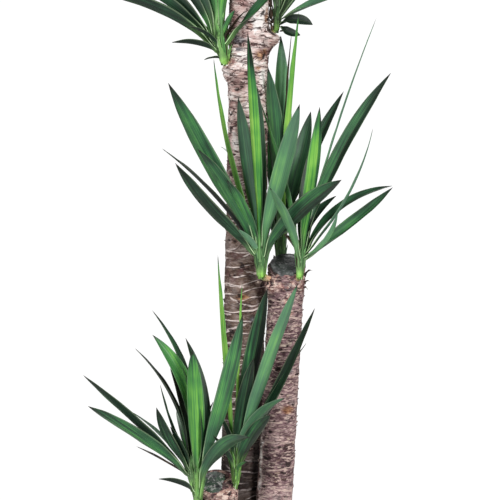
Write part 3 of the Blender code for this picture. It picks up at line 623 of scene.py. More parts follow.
hiddenLeaf = {
    "rise": (74, 46, 62, 30, 68, 52), "spread": 5.0, "turn": 20.0, "arch": 0.1,
    "length": (250.0, 330.0), "width": (24.0, 30.0),
}
blade = {
    "stations": 32, "ringPoints": 20, "seat": 3.0, "baseWidth": 0.44, "widestAt": 0.42, "taper": 3.0,
    "turnDone": 0.45, "foldAtBase": 42.0, "foldAtTip": 17.0, "ribAtBase": 2.2, "ribAtTip": 0.9, "ripple": 0.9,
    "sheathStations": 7, "sheathLength": (20.0, 40.0), "sheathSpan": (0.46, 0.7), "sheathFold": 30.0,
    "sageLength": 42.0, "sheathReach": (0.8, 1.02), "toneDraw": 0.07,
}
stem = {
    "radii": (4.6, 5.2, 6.2, 7.4, 8.6, 8.6, 6.0), "bendShare": 0.5, "socketDepth": 12.0, "stations": 30,
    "scales": 11, "scaleLength": (18.0, 44.0), "scaleWidth": (8.0, 13.0),
    "limeFrom": -6.0, "limeTo": 16.0, "footShare": 0.7,
}


# Blades: the script lays each leaf's spine as a chain of points that carries its section, and the tree
# sweeps a ring round the spine.

def makeBladeTree():
    tree, add, start = newGeometryTree("sweptBlades", {"Ring Points": "Int", "Edge Ripple": "Float"})
    ring = add("CurvePrimitiveCircle", {"Resolution": start["Ring Points"], "Radius": 1.0}, mode="RADIUS")
    place = add("SeparateXYZ", (add("InputPosition"),)).outputs
    for name, axis in (("across", "X"), ("facing", "Y")):
        ring = add("StoreNamedAttribute", {"Geometry": ring, "Name": name, "Value": place[axis]},
                   data_type="FLOAT")
    spine = add("MeshToCurve", {"Mesh": start["Geometry"]})
    swept = add("CurveToMesh", {"Curve": spine, "Profile Curve": ring, "Fill Caps": True})
    kinds = dict.fromkeys(("spine", "reach", "lift", "pad", "above"), "FLOAT_VECTOR")
    kinds |= dict.fromkeys(("across", "facing", "gutter", "leafSeed", "ripple"), "FLOAT")
    read = {name: add("InputNamedAttribute", {"Name": name}, data_type=kind) for name, kind in kinds.items()}
    across = read["across"]
    gutter = add("Math", (add("Math", (across,), "ABSOLUTE"), read["gutter"]), "POWER")
    # a slow ripple that grows towards the margins
    slow = add("VectorMath", (read["spine"], (26.0, 26.0, 26.0)), "MULTIPLY")
    seed = add("Math", (read["leafSeed"], add("Math", (across,), "SIGN")), "ADD")
    wave = add("TexNoise", {"Vector": slow, "W": seed, "Scale": 1.0, "Detail": 1.0}, noise_dimensions="4D")
    wave = add("MapRange", (wave, 0.25, 0.75, -1.0, 1.0))
    for part in (start["Edge Ripple"], read["ripple"], gutter):
        wave = add("Math", (wave, part), "MULTIPLY")
    point = read["spine"]
    for name, amount in (("reach", across), ("lift", gutter), ("pad", read["facing"]), ("above", wave)):
        part = add("VectorMath", {0: read[name], "Scale": amount}, "SCALE")
        point = add("VectorMath", (point, part), "ADD")
    closeTree(add, add("SetPosition", {"Geometry": swept, "Position": point}), start["Surface"])
    return tree


def hiddenLeaves(count, first, last, seed):  # leaves spread over the side that the photograph doesn't show
    draw = random.Random(seed)
    spread, twist, leaves = hiddenLeaf["spread"], hiddenLeaf["turn"], []
    for number in range(count):
        bearing = math.radians(mix(first, last, (number + 0.5) / count) + draw.uniform(-spread, spread))
        rise = math.radians(hiddenLeaf["rise"][number % 6] + draw.uniform(-spread, spread))
        length = draw.uniform(*hiddenLeaf["length"])
        reach = length * math.cos(rise)
        tip = (reach * math.cos(bearing), reach * math.sin(bearing), length * math.sin(rise))
        turn = draw.uniform(-twist, twist)
        leaves.append((*tip, draw.uniform(*hiddenLeaf["width"]), hiddenLeaf["arch"] * reach, turn,
                       hiddenLooks[number % len(hiddenLooks)]))
    return leaves


def widthShare(share):
    if share < blade["widestAt"]:
        return mix(blade["baseWidth"], 1.0, ease(share / blade["widestAt"]))
    return 1.0 - ((share - blade["widestAt"]) / (1.0 - blade["widestAt"])) ** blade["taper"]


def station(point, side, above, half, fold, thick, **values):
    return {"spine": point * mm, "reach": side * half * math.cos(fold) * mm,
            "lift": above * half * math.sin(fold) * mm, "pad": above * thick / 2.0 * mm, "above": above * mm,
            "half": half, "gutter": 1.25, "ripple": 0.0, "nearTone": 0.5, "farTone": 0.5, "bloom": 0.0,
            "dryness": 0.0, "sheath": 0.0, "lime": 0.0, "cork": 0.0, "heel": 0.0, "shade": 0.0,
            "leafSeed": 0.0, "along": 0.5} | values


def stemFrame(head):
    root, lean = Vector(head["root"]), Vector(head["lean"])
    cane = canes[head["cane"]]
    center = caneCenter(cane, root.z - barkShape["socketDrop"])
    outward = (root - center).to_2d().normalized().to_3d()
    inner = center + outward * (cane["radius"] - stem["socketDepth"])
    elbow = Vector((root.x, root.y, center.z + stem["radii"][1] * 0.5))
    return inner, elbow, root, lean


def stemPoint(line, share):
    inner, elbow, root, lean = line
    if share < stem["bendShare"]:
        return bend(inner, elbow, root, share / stem["bendShare"])
    return root + lean * (share - stem["bendShare"]) / (1.0 - stem["bendShare"])


def stemRadius(head, share):
    place = min(max(share, 0.0), 1.0) * (len(stem["radii"]) - 1)
    low = min(int(place), len(stem["radii"]) - 2)
    return mix(stem["radii"][low], stem["radii"][low + 1], ease(place - low)) * head["girth"]


def stemAt(head, line, height):  # centre and radius of the stem at a height above its bend
    elbow, root, lean = line[1:]
    rise = height - root.z
    slim = mix(head.get("foot", stem["footShare"]), 1.0, ease((rise + 12.0) / 30.0))
    if rise > 0.0:
        return root + lean * rise / lean.z, stemRadius(head, 0.5 + 0.5 * rise / lean.z) * slim
    drop = min(-rise / (root.z - elbow.z), 1.3)
    return root.lerp(elbow, drop), stemRadius(head, 0.5 - 0.16 * drop) * slim


def baseValues(head, height):  # how lime or corky a base is at a height
    rise = height - head["root"][2]
    low = 1.0 - ease((rise - stem["limeFrom"]) / (stem["limeTo"] - stem["limeFrom"]))
    return {"lime": max(low, head.get("fresh", 0.0)), "cork": head.get("cork", 0.0) * ease(low * 1.3)}


def seedOf(draw):
    return draw.uniform(0.0, 90.0)


def leafChain(head, leaf, seed, draw):
    x, y, z, width, bow, turn, look = leaf
    line = stemFrame(head)
    root, lean = line[2:]
    end = root + Vector((x, y, z))
    outward = Vector((x, y, 0.0)).normalized()
    rise = math.atan2(z, math.hypot(x, y)) / (math.pi / 2.0)
    start = root + lean * mix(0.04, 0.84, max(rise, 0.0)) + outward * blade["seat"]
    level = outward.cross(up)
    control = (start + end) / 2.0 + level.cross(end - start).normalized() * 2.0 * bow
    length = (end - start).length
    left, right, bloom, dryness = leafLooks[look]
    girth = stemAt(head, line, start.z)[1]
    clasp = girth * draw.uniform(*blade["sheathSpan"]) * min(1.0, width / 18.0)
    shift = draw.uniform(-blade["toneDraw"], blade["toneDraw"])
    left, right, dim = left + shift, right + shift, head.get("dim", 0.0)
    pale = 0.95 * (1.0 - dryness) * draw.uniform(head.get("clean", 0.4), 1.0) * min(length / 110.0, 1.0) ** 2
    sage = min(head.get("sage", blade["sageLength"]), 0.3 * length)
    chain = []
    # the base clasps the stem from below, tucked under the leaves that are lower
    low = max(start.z - draw.uniform(*blade["sheathLength"]), root.z - 9.0)
    # the half towards the viewer's left takes the first tone: painted light and shade on the two halves
    near, far = (right, left) if level.x > 0.0 else (left, right)
    for step in range(blade["sheathStations"]):
        share = step / blade["sheathStations"]
        height = mix(low, start.z, share)
        center, radius = stemAt(head, line, height)
        chain.append(station(
            center + outward * radius * mix(*blade["sheathReach"], ease(share)), level,
            level.cross(up).normalized(), clasp * mix(0.8, 1.0, share), math.radians(blade["sheathFold"]), 1.7,
            gutter=1.6, along=0.0, nearTone=near, farTone=far, dryness=dryness, sheath=pale, shade=dim,
            leafSeed=seed, **baseValues(head, height)))
    for step in range(blade["stations"] + 1):
        share = step / blade["stations"]
        share = mix(share, 1.0 - (1.0 - share) ** 1.6, 0.5)  # closer stations near the tip
        point = bend(start, control, end, share)
        along = (bend(start, control, end, share + 0.01) - point).normalized()
        point += outward * (girth * blade["sheathReach"][1] - blade["seat"]) * (1.0 - ease(share / 0.2))
        settled = ease(share / 0.12)
        along = (up * (1.0 - settled) + along * settled).normalized()
        side = Matrix.Rotation(math.radians(turn) * ease(share / blade["turnDone"]), 3, along) @ level
        half = max(mix(clasp, width / 2.0 * widthShare(share), ease(share / 0.14)), 0.12)
        fold = math.radians(mix(blade["foldAtBase"], blade["foldAtTip"], share))
        thick = min(mix(blade["ribAtBase"], blade["ribAtTip"], share), half * 1.2)
        # the half towards the viewer's left takes the first tone: painted light and shade on the two halves
        near, far = (right, left) if side.x - 0.4 * side.z > 0.0 else (left, right)
        fall = topShades.get(look, 0.0) * ease((share - 0.7) / 0.18)
        chain.append(station(
            point, side, side.cross(along).normalized(), half, fold, thick, along=share, nearTone=near - fall,
            farTone=far - fall, bloom=bloom * ease(share * 5.0), dryness=dryness,
            sheath=pale * (1.0 - ease(share * length / sage)), gutter=mix(1.6, 1.25, settled),
            shade=dim * (1.0 - ease(share * 4.0)), ripple=ease(share * 3.0) * ease((1.0 - share) * 6.0),
            leafSeed=seed, **baseValues(head, point.z)))
    return chain


def stemChain(head, seed):  # a round stem with a ledge at each fallen leaf base
    line = stemFrame(head)
    chain = []
    for step in range(stem["stations"] + 1):
        share = step / stem["stations"]
        point = stemPoint(line, share)
        along = (stemPoint(line, share + 0.01) - point).normalized()
        side = along.orthogonal().normalized()
        ledge = 0.7 * (1.0 - (step * 0.5) % 1.0)
        slim = mix(head.get("foot", 1.0), 1.0, ease((point.z - head["root"][2] + 12.0) / 34.0))
        radius = stemRadius(head, share) * slim * mix(0.7, 0.84, ease(share * 1.4)) + ledge
        if step == stem["stations"]:
            radius *= 0.5
        values = baseValues(head, point.z)
        # above the lime stub the core gets painted shade, so the gaps between the clasping bases look dark
        inside = 1.0 - values["lime"]
        chain.append(station(
            point, side, side.cross(along).normalized(), radius, 0.0, radius * 2.0, along=0.3, nearTone=0.4,
            farTone=0.4, sheath=1.0 - 0.5 * inside, shade=max(0.45 * inside, head.get("dim", 0.0)),
            heel=1.0 - ease((share - 0.22) / 0.16), leafSeed=seed, **values))
    return chain


def scaleChains(head, draw):  # short scales that clasp the stem below the leaves
    line = stemFrame(head)
    chains = []
    for number in range(stem["scales"]):
        share = mix(0.42, 0.9, number / stem["scales"])
        turn = number * goldenTurn + draw.uniform(-0.2, 0.2)
        outward = Vector((math.cos(turn), math.sin(turn), 0.0))
        foot = stemPoint(line, share) + outward * stemRadius(head, share) * 0.78
        length = draw.uniform(*stem["scaleLength"])
        end = foot + up * length + outward * length * draw.uniform(0.08, 0.26)
        control = (foot + end) / 2.0 - outward * length * 0.04
        side = outward.cross(up)
        width = draw.uniform(*stem["scaleWidth"]) * head["girth"]
        tone = draw.uniform(0.4, 0.62)
        seed = seedOf(draw)
        chain = []
        for step in range(15):
            place = step / 14.0
            point = bend(foot, control, end, place)
            along = (bend(foot, control, end, place + 0.01) - point).normalized()
            half = width / 2.0 * (1.0 - place ** 2.6) * mix(0.9, 1.0, ease(place * 3.0)) + 0.1
            fold = math.radians(mix(50.0, 25.0, place))
            chain.append(station(
                point, side, side.cross(along).normalized(), half, fold, mix(1.8, 0.7, place),
                along=place * 0.9, nearTone=tone, farTone=tone - 0.15, gutter=1.8, leafSeed=seed,
                sheath=mix(0.95, 0.35, ease(place * 1.2)), shade=head.get("dim", 0.0),
                **baseValues(head, point.z)))
        chains.append(chain)
    return chains


def scrapChains(head, draw):  # dry shreds of fallen leaf bases at the foot of the stem
    chains = []
    for x, y, z, reachX, reachY, reachZ, width in head.get("scraps", ()):
        foot = Vector(head["root"]) + Vector((x, y, z))
        reach = Vector((reachX, reachY, reachZ))
        level = reach.cross(Vector((0.0, 1.0, 0.0))).normalized()
        seed = seedOf(draw)
        chain = []
        for step in range(9):
            place = step / 8.0
            point = foot + reach * place + up * reach.length * 0.22 * math.sin(place * 3.1)
            side = Matrix.Rotation(place * 0.7, 3, reach.normalized()) @ level
            half = width / 2.0 * (1.0 - place ** 1.4) * (0.8 + 0.3 * math.sin(place * 9.0 + seed)) + 0.15
            chain.append(station(point, side, side.cross(reach).normalized(), half, 0.5, 0.6, dryness=1.0,
                                 leafSeed=seed, along=place * 0.9))
        chains.append(chain)
    return chains


def chainObject(name, chains):
    verts, edges, rows = [], [], []
    for chain in chains:
        first = len(verts)
        verts += [row["spine"] for row in chain]
        edges += [(first + i, first + i + 1) for i in range(len(chain) - 1)]
        rows += chain
    obj = newObject(name, verts, [], None, edges)
    columns = {key: [row[key] for row in rows] for key in rows[0] if key != "spine"}
    storeValues(obj.data, columns | {"spine": verts})
    return obj


def addMillimetres(mesh):  # distance across the blade in millimetres, for the veins
    across, half = ([item.value for item in mesh.attributes[name].data] for name in ("across", "half"))
    storeValues(mesh, {"millimetres": [a * h for a, h in zip(across, half)]})
    for name in ("spine", "reach", "lift", "pad", "above", "half", "gutter", "ripple", "facing"):
        mesh.attributes.remove(mesh.attributes[name])


say("leaves")
bladeTree = makeBladeTree()
for headName, head in heads.items():
    draw = random.Random("yucca " + headName)
    leaves = head["leaves"] + (hiddenLeaves(*head["hidden"]) if "hidden" in head else [])
    chains = [stemChain(head, seedOf(draw))] + scaleChains(head, draw) + scrapChains(head, draw)
    chains += [leafChain(head, leaf, seedOf(draw), draw) for leaf in leaves]
    piece = chainObject("leafHead_" + headName, chains)
    runTree(piece, bladeTree, {"Ring Points": blade["ringPoints"], "Edge Ripple": blade["ripple"],
                               "Surface": leafMaterial})
    addMillimetres(piece.data)
    finishPiece(piece, "leaf_green", "head_" + headName)


# Bark: a fine skin over each cane, with ledges and grooves along its leaf scars

def scarsOf(cane):
    draw = random.Random(cane["seed"])
    scars, scarRise = [], barkShape["scarRise"]
    height, turn = cane["foot"][2] + 60.0, draw.uniform(0.0, tau)
    while height < cane["top"][2] + 10.0:
        scars.append({
            "height": height, "turn": turn % tau, "span": barkShape["scarHalfSpan"] * draw.uniform(0.5, 1.2),
            "left": scarRise * draw.uniform(-0.2, 1.3), "right": scarRise * draw.uniform(-0.2, 1.3),
            "depth": draw.uniform(0.5, 1.3), "plate": draw.random()})
        turn += goldenTurn + draw.uniform(-0.35, 0.35)
        height += cane["scarPitch"] * draw.uniform(0.7, 1.3)
    return scars


def barkSwell(caneHeads, center, angle, height):
    total = 0.0
    for head in caneHeads:
        root = Vector(head["root"])
        away = root - center
        turn = math.remainder(angle - math.atan2(away.y, away.x), tau) / barkShape["swellAngle"]
        rise = height - root.z + barkShape["swellDrop"]
        rise /= barkShape["swellAbove"] if rise > 0.0 else barkShape["swellBelow"]
        total += head["swell"] * math.exp(-turn * turn - rise * rise)
    return total


def barkPoint(cane, scars, height, angle):  # relief in millimetres, distance to a scar line, tone of the plate
    gap, relief, plate, plateBelow = 30.0, 0.0, 0.5, 99.0
    for scar in scars:
        around = math.remainder(angle - scar["turn"], tau)
        share = abs(around) / scar["span"]
        line = (scar["right"] if around > 0.0 else scar["left"]) * min(share, 1.4) ** 1.3
        over = height - scar["height"] - line
        beyond = max(share - 1.0, 0.0) * scar["span"] * cane["radius"]
        gap = min(gap, abs(over) + beyond)
        if beyond == 0.0:
            fade = 1.0 - ease(share * 3.0 - 2.0)
            relief -= barkShape["groove"] * scar["depth"] * math.exp(-(over / 1.1) ** 2) * fade
            if over > 0.0:
                relief += barkShape["ledge"] * scar["depth"] * math.exp(-over / 9.0) * fade
            if 0.0 <= over < plateBelow:
                plateBelow, plate = over, scar["plate"]
    return relief, gap, plate


def crackAt(cane, lines, height, angle):  # distance to the nearest long crack, and its groove
    gap, relief = 30.0, 0.0
    for low, lowTurn, high, highTurn, depth in lines:
        span, rise = (highTurn - lowTurn) * cane["radius"], high - low
        here = math.remainder(angle - lowTurn, tau) * cane["radius"]
        share = min(max((here * span + (height - low) * rise) / (span ** 2 + rise ** 2), 0.0), 1.0)
        away = math.hypot(here - span * share, height - mix(low, high, share) - 1.6 * math.sin(share * 9.0))
        gap = min(gap, away)
        relief -= depth * math.exp(-(away / 1.4) ** 2)
    return gap, relief


def markValues(cane, spots, height, angle, values, noisy):  # marks change the tint and the relief
    relief = 0.0
    for z, turn, wide, tall, depth, kind in spots:
        across = math.remainder(angle - math.radians(turn), tau) * cane["radius"] / wide
        away = math.hypot(across, (height - z) / tall) * (1.0 + 0.35 * noisy)
        if away > 1.8:
            continue
        strength = 1.0 - ease((away - 0.45) / 0.75)
        relief -= depth * strength
        if kind == "pit":
            values["hollow"] = max(values["hollow"], strength)
        elif kind == "eye":
            ring = math.exp(-((away - 0.85) / 0.16) ** 2)
            relief += 1.1 * ring - 0.5 * math.exp(-((away - 0.5) / 0.12) ** 2)
            values["callus"] = max(values["callus"], 0.5 * strength)
            values["hollow"] = max(values["hollow"], 0.55 * math.exp(-((away - 1.05) / 0.12) ** 2))
        # painted rim light: the band is drawn as pale bark
        elif kind == "paintedRimLight":
            values["paleness"], values["plate"] = strength, max(values["plate"], strength)
        else:
            values[kind] = max(values[kind], 0.85 * strength)
    return relief


def buildCane(name):
    cane = canes[name]
    scars = scarsOf(cane)
    lines = [(a, math.radians(b), c, math.radians(d), e) for a, b, c, d, e in cracks[name]]
    caneHeads = [head for head in heads.values() if head["cane"] == name]
    sockets = []
    for head in caneHeads:
        inner, elbow = stemFrame(head)[:2]
        outward = (elbow - up * 3.0 - inner).normalized()
        sockets.append(outward * cane["radius"] + caneCenter(cane, elbow.z - 4.0))
    sides, foot, top = cane["sides"], cane["foot"][2], cane["top"][2]
    low = barkShape["soilLevel"] - 14.0
    fine = round((top - low) / cane["pitch"])
    heights = [foot, mix(foot, low, 0.5), low] + [mix(low, top, step / fine) for step in range(1, fine + 1)]
    verts = []
    columns = {key: [] for key in barkKeys}
    for height in heights:
        center = caneCenter(cane, height)
        nearTop = min(max((height - top + barkShape["flareLength"]) / barkShape["flareLength"], 0.0), 1.0)
        rim = ease((height - top + 5.0) / 5.0)
        nearScars = [scar for scar in scars if -16.0 < height - scar["height"] < 45.0]
        nearLines = [line for line in lines
                     if min(line[0], line[2]) - 8.0 < height < max(line[0], line[2]) + 8.0]
        nearSpots = [spot for spot in marks[name] if abs(height - spot[0]) < spot[3] * 2.0]
        swells = any(abs(height - head["root"][2]) < 60.0 for head in caneHeads)
        pale = ease((height - cane["paleFrom"]) / (cane["paleTo"] - cane["paleFrom"]))
        # painted shade: below these heights the bark is darkened, as if in the shadow of the heads and the other
        # canes
        damp = ease((cane["paintedShadeBelow"] - height) / 90.0)
        shaded = 0.6 * ease((cane["shadedBelow"] - height) / 150.0)  # darker on the side under the leaves
        share = (height - foot) / (top - foot)
        base = cane["radius"] + cane["belly"] * 4.0 * share * (1.0 - share) + cane["flare"] * ease(nearTop)
        for side in range(sides):
            angle = tau * side / sides
            spot = Vector((math.cos(angle), math.sin(angle), 0.0))
            at = (center + spot * base) * mm
            values = dict.fromkeys(barkKeys, 0.0) | {
                "scarGap": 30.0, "plate": 0.5, "paleness": pale,
                "damp": max(damp, shaded * ease(0.25 - 0.85 * math.cos(angle)))}
            relief = 0.0
            if height > low - 0.1:  # the buried foot stays plain
                noisy = fractal(at, 90.0, 2)
                relief, gap, values["plate"] = barkPoint(cane, nearScars, height, angle)
                crackGap, groove = crackAt(cane, nearLines, height, angle)
                values["scarGap"] = min(gap, crackGap)
                lumps = barkShape["lumps"] * fractal(at, 38.0)
                grit = barkShape["grit"] * fractal(at, 230.0, 2)
                nick = max(fractal((at.x, at.y, at.z * 1.8), 70.0, 2) - 0.42, 0.0) * barkShape["nicks"]
                values["hollow"] = min(nick, 1.0)
                topMask = ease((height - top + barkShape["frayed"]) / 16.0)
                values["cutWood"] = topMask * ease(0.55 + 1.1 * fractal(at, 60.0, 2))
                relief += groove + lumps * (1.0 + topMask) + grit - nick
                relief += markValues(cane, nearSpots, height, angle, values, noisy)
                values["damp"] *= 1.0 - 0.9 * max(values["callus"], values["paleness"])
                if swells:
                    grown = barkSwell(caneHeads, center, angle, height)
                    relief += grown * (1.0 + 0.12 * noisy)
                    for socket in sockets:
                        away = (center + spot * (base + grown) - socket).length / barkShape["callusReach"]
                        healed = 0.8 * (1.0 - ease(away * (1.0 + 0.4 * noisy) - 0.25))
                        values["callus"] = max(values["callus"], healed)
            radius = base + relief * (1.0 - 0.6 * rim) - 1.6 * rim
            tilt = barkShape["cutSlope"] * radius * math.sin(angle) * nearTop
            verts.append((center + Vector((radius * math.cos(angle), radius * math.sin(angle), tilt))) * mm)
            for key in barkKeys:
                columns[key].append(values[key])
    # the sawn end under the wax is closed by shrinking rings, and the buried foot by a fan
    faces = ringFaces(len(heights), sides)
    rimFirst = last = len(verts) - sides
    center = Vector(cane["top"]) * mm
    closing = dict.fromkeys(barkKeys, 0.0) | {"scarGap": 30.0, "plate": 0.5}
    for number in range(1, 12):
        share = 1.0 - number / 11.0
        first = len(verts)
        isRing = share > 0.01
        for side in range(sides if isRing else 1):
            point = center + (verts[rimFirst + side] - center) * share if isRing else center.copy()
            rough = fractal(point, 120.0, 3)
            verts.append(point + up * (0.7 * rough - 0.3) * mm * isRing)
            closing["cutWood"] = 0.75 + 0.25 * rough
            closing["hollow"] = max(0.0, 0.9 * fractal(point, 95.0, 2) - 0.1)
            for key in barkKeys:
                columns[key].append(closing[key])
        for side in range(sides):
            after = (side + 1) % sides
            faces.append((last + side, last + after, first + after, first + side) if isRing else
                         (last + side, last + after, first))
        last = first
    faces += [((side + 1) % sides, side, len(verts)) for side in range(sides)]
    verts.append(Vector(cane["foot"]) * mm)
    closing |= {"cutWood": 0.0, "hollow": 0.0}
    for key in barkKeys:
        columns[key].append(closing[key])
    obj = newObject("bark_" + name, verts, faces, barkMaterials[name])
    storeValues(obj.data, columns)
    obj.data.shade_smooth()
    return obj


say("bark")
caneObjects = {name: buildCane(name) for name in canes}
for caneName, piece in caneObjects.items():
    finishPiece(piece, "cane_bark", "cane_" + caneName)


# What the next two trees share: points strewn on the chosen faces, each with its own tone, and a noisy push

def strewPoints(add, start, chosen, toneName, toneSeed):
    spots = add("DistributePointsOnFaces", {
        "Mesh": start["Geometry"], "Density": start["Count Per Area"], "Seed": start["Seed"],
        "Selection": chosen})
    tone = add("RandomValue", {"Min": 0.0, "Max": 1.0, "Seed": toneSeed}, data_type="FLOAT")
    return spots.outputs["Normal"], add("StoreNamedAttribute", {
        "Geometry": spots, "Name": toneName, "Value": tone}, data_type="FLOAT", domain="POINT")


def noisyPush(add, scale, detail):
    ruffle = add("TexNoise", {"Scale": scale, "Detail": detail}).outputs["Color"]
    return add("VectorMath", (ruffle, (0.5, 0.5, 0.5)), "SUBTRACT")


def strewOver(source, name, tree, values):  # the tree runs on a copy of the piece
    piece = newObject(name, [], [], None)
    piece.data = source.data.copy()
    runTree(piece, tree, values)
    return piece


# Loose flakes: the tree scatters thin curled plates over the bark, lifted at their upper edge

flakes = {
    "perArea": 2600.0, "width": 7.0, "height": 3.2, "lift": 0.55, "ragged": 1.6, "lowest": 235.0, "seed": 4,
}


def makeFlakeTree():
    tree, add, start = newGeometryTree("looseFlakes", {
        "Count Per Area": "Float", "Flake Width": "Float", "Flake Height": "Float", "Lift": "Float",
        "Ragged": "Float", "Lowest": "Float", "Seed": "Int"})
    height = add("SeparateXYZ", (add("InputPosition"),)).outputs["Z"]
    high = add("Compare", (height, start["Lowest"]), "GREATER_THAN")
    normal, marked = strewPoints(add, start, high, "flakeTone", start["Seed"])
    plate = add("MeshCube", {"Size": (1.0, 1.0, 0.14), "Vertices X": 5, "Vertices Y": 4})
    corner = add("SeparateXYZ", (add("InputPosition"),)).outputs
    rise = add("Math", (add("Math", (corner["Y"], 0.5), "ADD"), 2.0), "POWER")
    rise = add("Math", (rise, start["Lift"]), "MULTIPLY")
    curve = add("Math", (add("Math", (corner["X"], 2.0), "POWER"), 0.7), "MULTIPLY")
    offset = add("CombineXYZ", (0.0, 0.0, add("Math", (rise, curve), "SUBTRACT")))
    curled = add("SetPosition", {"Geometry": plate.outputs["Mesh"], "Offset": offset})
    outward = add("AlignRotationToVector", {"Vector": normal}, axis="Z")
    upright = add("AlignRotationToVector", {"Rotation": outward, "Vector": (0.0, 0.0, 1.0)}, axis="Y",
                  pivot_axis="Z")
    size = add("RandomValue", {"Min": (0.5, 0.4, 0.6), "Max": (1.5, 1.3, 1.2), "Seed": start["Seed"]},
               data_type="FLOAT_VECTOR")
    whole = add("CombineXYZ", (start["Flake Width"], start["Flake Height"], start["Flake Height"]))
    size = add("VectorMath", (size, whole), "MULTIPLY")
    placed = add("InstanceOnPoints", {"Points": marked, "Instance": curled, "Rotation": upright,
                                      "Scale": size})
    real = add("RealizeInstances", {"Geometry": placed})
    push = add("VectorMath", {0: noisyPush(add, 260.0, 1.0), "Scale": start["Ragged"]}, "SCALE")
    closeTree(add, add("SetPosition", {"Geometry": real, "Offset": push}), start["Surface"])
    return tree


say("flakes")
flakeTree = makeFlakeTree()
for caneName, bark in caneObjects.items():
    finishPiece(strewOver(bark, "barkFlakes_" + caneName, flakeTree, {
        "Count Per Area": flakes["perArea"], "Flake Width": flakes["width"] * mm,
        "Flake Height": flakes["height"] * mm, "Lift": flakes["lift"], "Ragged": flakes["ragged"] * mm,
        "Lowest": flakes["lowest"] * mm, "Seed": flakes["seed"], "Surface": flakeMaterial}), "cane_bark")


# Pruning wax on the sawn ends, with rings from the brush and a few runs over the rim

wax = {
    "rise": 5.0, "sides": 96, "rings": 18, "runs": 3.5, "ragged": 0.055, "bareTurn": -0.2, "bareSpan": 0.95,
}


def buildWax(name):
    cane = canes[name]
    draw = random.Random(cane["seed"] + 5)
    center = Vector(cane["top"])
    runs = [(draw.uniform(0.0, tau), draw.uniform(0.08, 0.2), draw.uniform(0.3, 1.0)) for _ in range(9)]
    profile = [(1.0, -2.2), (1.03, -0.6), (1.02, 1.2)]
    for step in range(wax["rings"] + 1):
        share = step / wax["rings"]
        profile.append((1.0 - 0.985 * share, 2.2 + (wax["rise"] - 2.2) * ease(share * 1.6)))
    sides = wax["sides"]
    verts, ringValue = [], []
    for number, (share, rise) in enumerate(profile):
        for side in range(sides):
            angle = tau * side / sides
            drop = 0.0
            if number < 2:
                for turn, width, depth in runs:
                    drop += depth * wax["runs"] * math.exp(-(math.remainder(angle - turn, tau) / width) ** 2)
            around = (math.cos(angle) * 2.2, math.sin(angle) * 2.2, cane["seed"])
            wobble = 1.0 + wax["ragged"] * fractal(around, 1.0)
            bareSide = math.exp(-(math.remainder(angle - wax["bareTurn"], tau) / wax["bareSpan"]) ** 2)
            radius = cane["wax"] * share * wobble * (1.0 - cane["bare"] * bareSide)
            x, y = radius * math.cos(angle), radius * math.sin(angle)
            lump = 0.45 * fractal((x * 0.12, y * 0.12, cane["seed"]), 1.0) + 0.22 * math.sin(radius * 1.6)
            verts.append((center + Vector((x, y, barkShape["cutSlope"] * y + (rise - drop) + lump))) * mm)
            ringValue.append(share)
    faces = ringFaces(len(profile), sides)
    middle, last = len(verts), len(verts) - sides
    verts += [(center + up * wax["rise"]) * mm, (center - up * 1.5) * mm]
    ringValue += [0.0, 1.0]
    faces += [(last + side, last + (side + 1) % sides, middle) for side in range(sides)]
    faces += [((side + 1) % sides, side, middle + 1) for side in range(sides)]
    obj = newObject("waxCap_" + name, verts, faces, waxMaterial)
    storeValues(obj.data, {"ring": ringValue, "moss": [cane["moss"]] * len(verts)})
    obj.data.shade_smooth()
    return obj


say("wax")
for caneName in canes:
    finishPiece(buildWax(caneName), "seal_wax", "wax_seal_" + caneName)


# Pot: one turned profile with drain holes

pot = {
    "height": 250.0, "baseRadius": 106.0, "rimRadius": 140.0, "wall": 2.6, "floor": 3.0, "band": 24.0,
    "step": 4.0, "sides": 144, "holes": 6, "holeRadius": 6.0, "holeRing": 74.0, "gap": 0.35,
}


def potRadius(height):
    return mix(pot["baseRadius"], pot["rimRadius"] - pot["step"], height / (pot["height"] - pot["band"]))


def lathe(name, profile, sides, material):
    verts = [Vector((r * math.cos(tau * i / sides), r * math.sin(tau * i / sides), z)) * mm
             for r, z in profile for i in range(sides)]
    return ringObject(name, verts, sides, material)


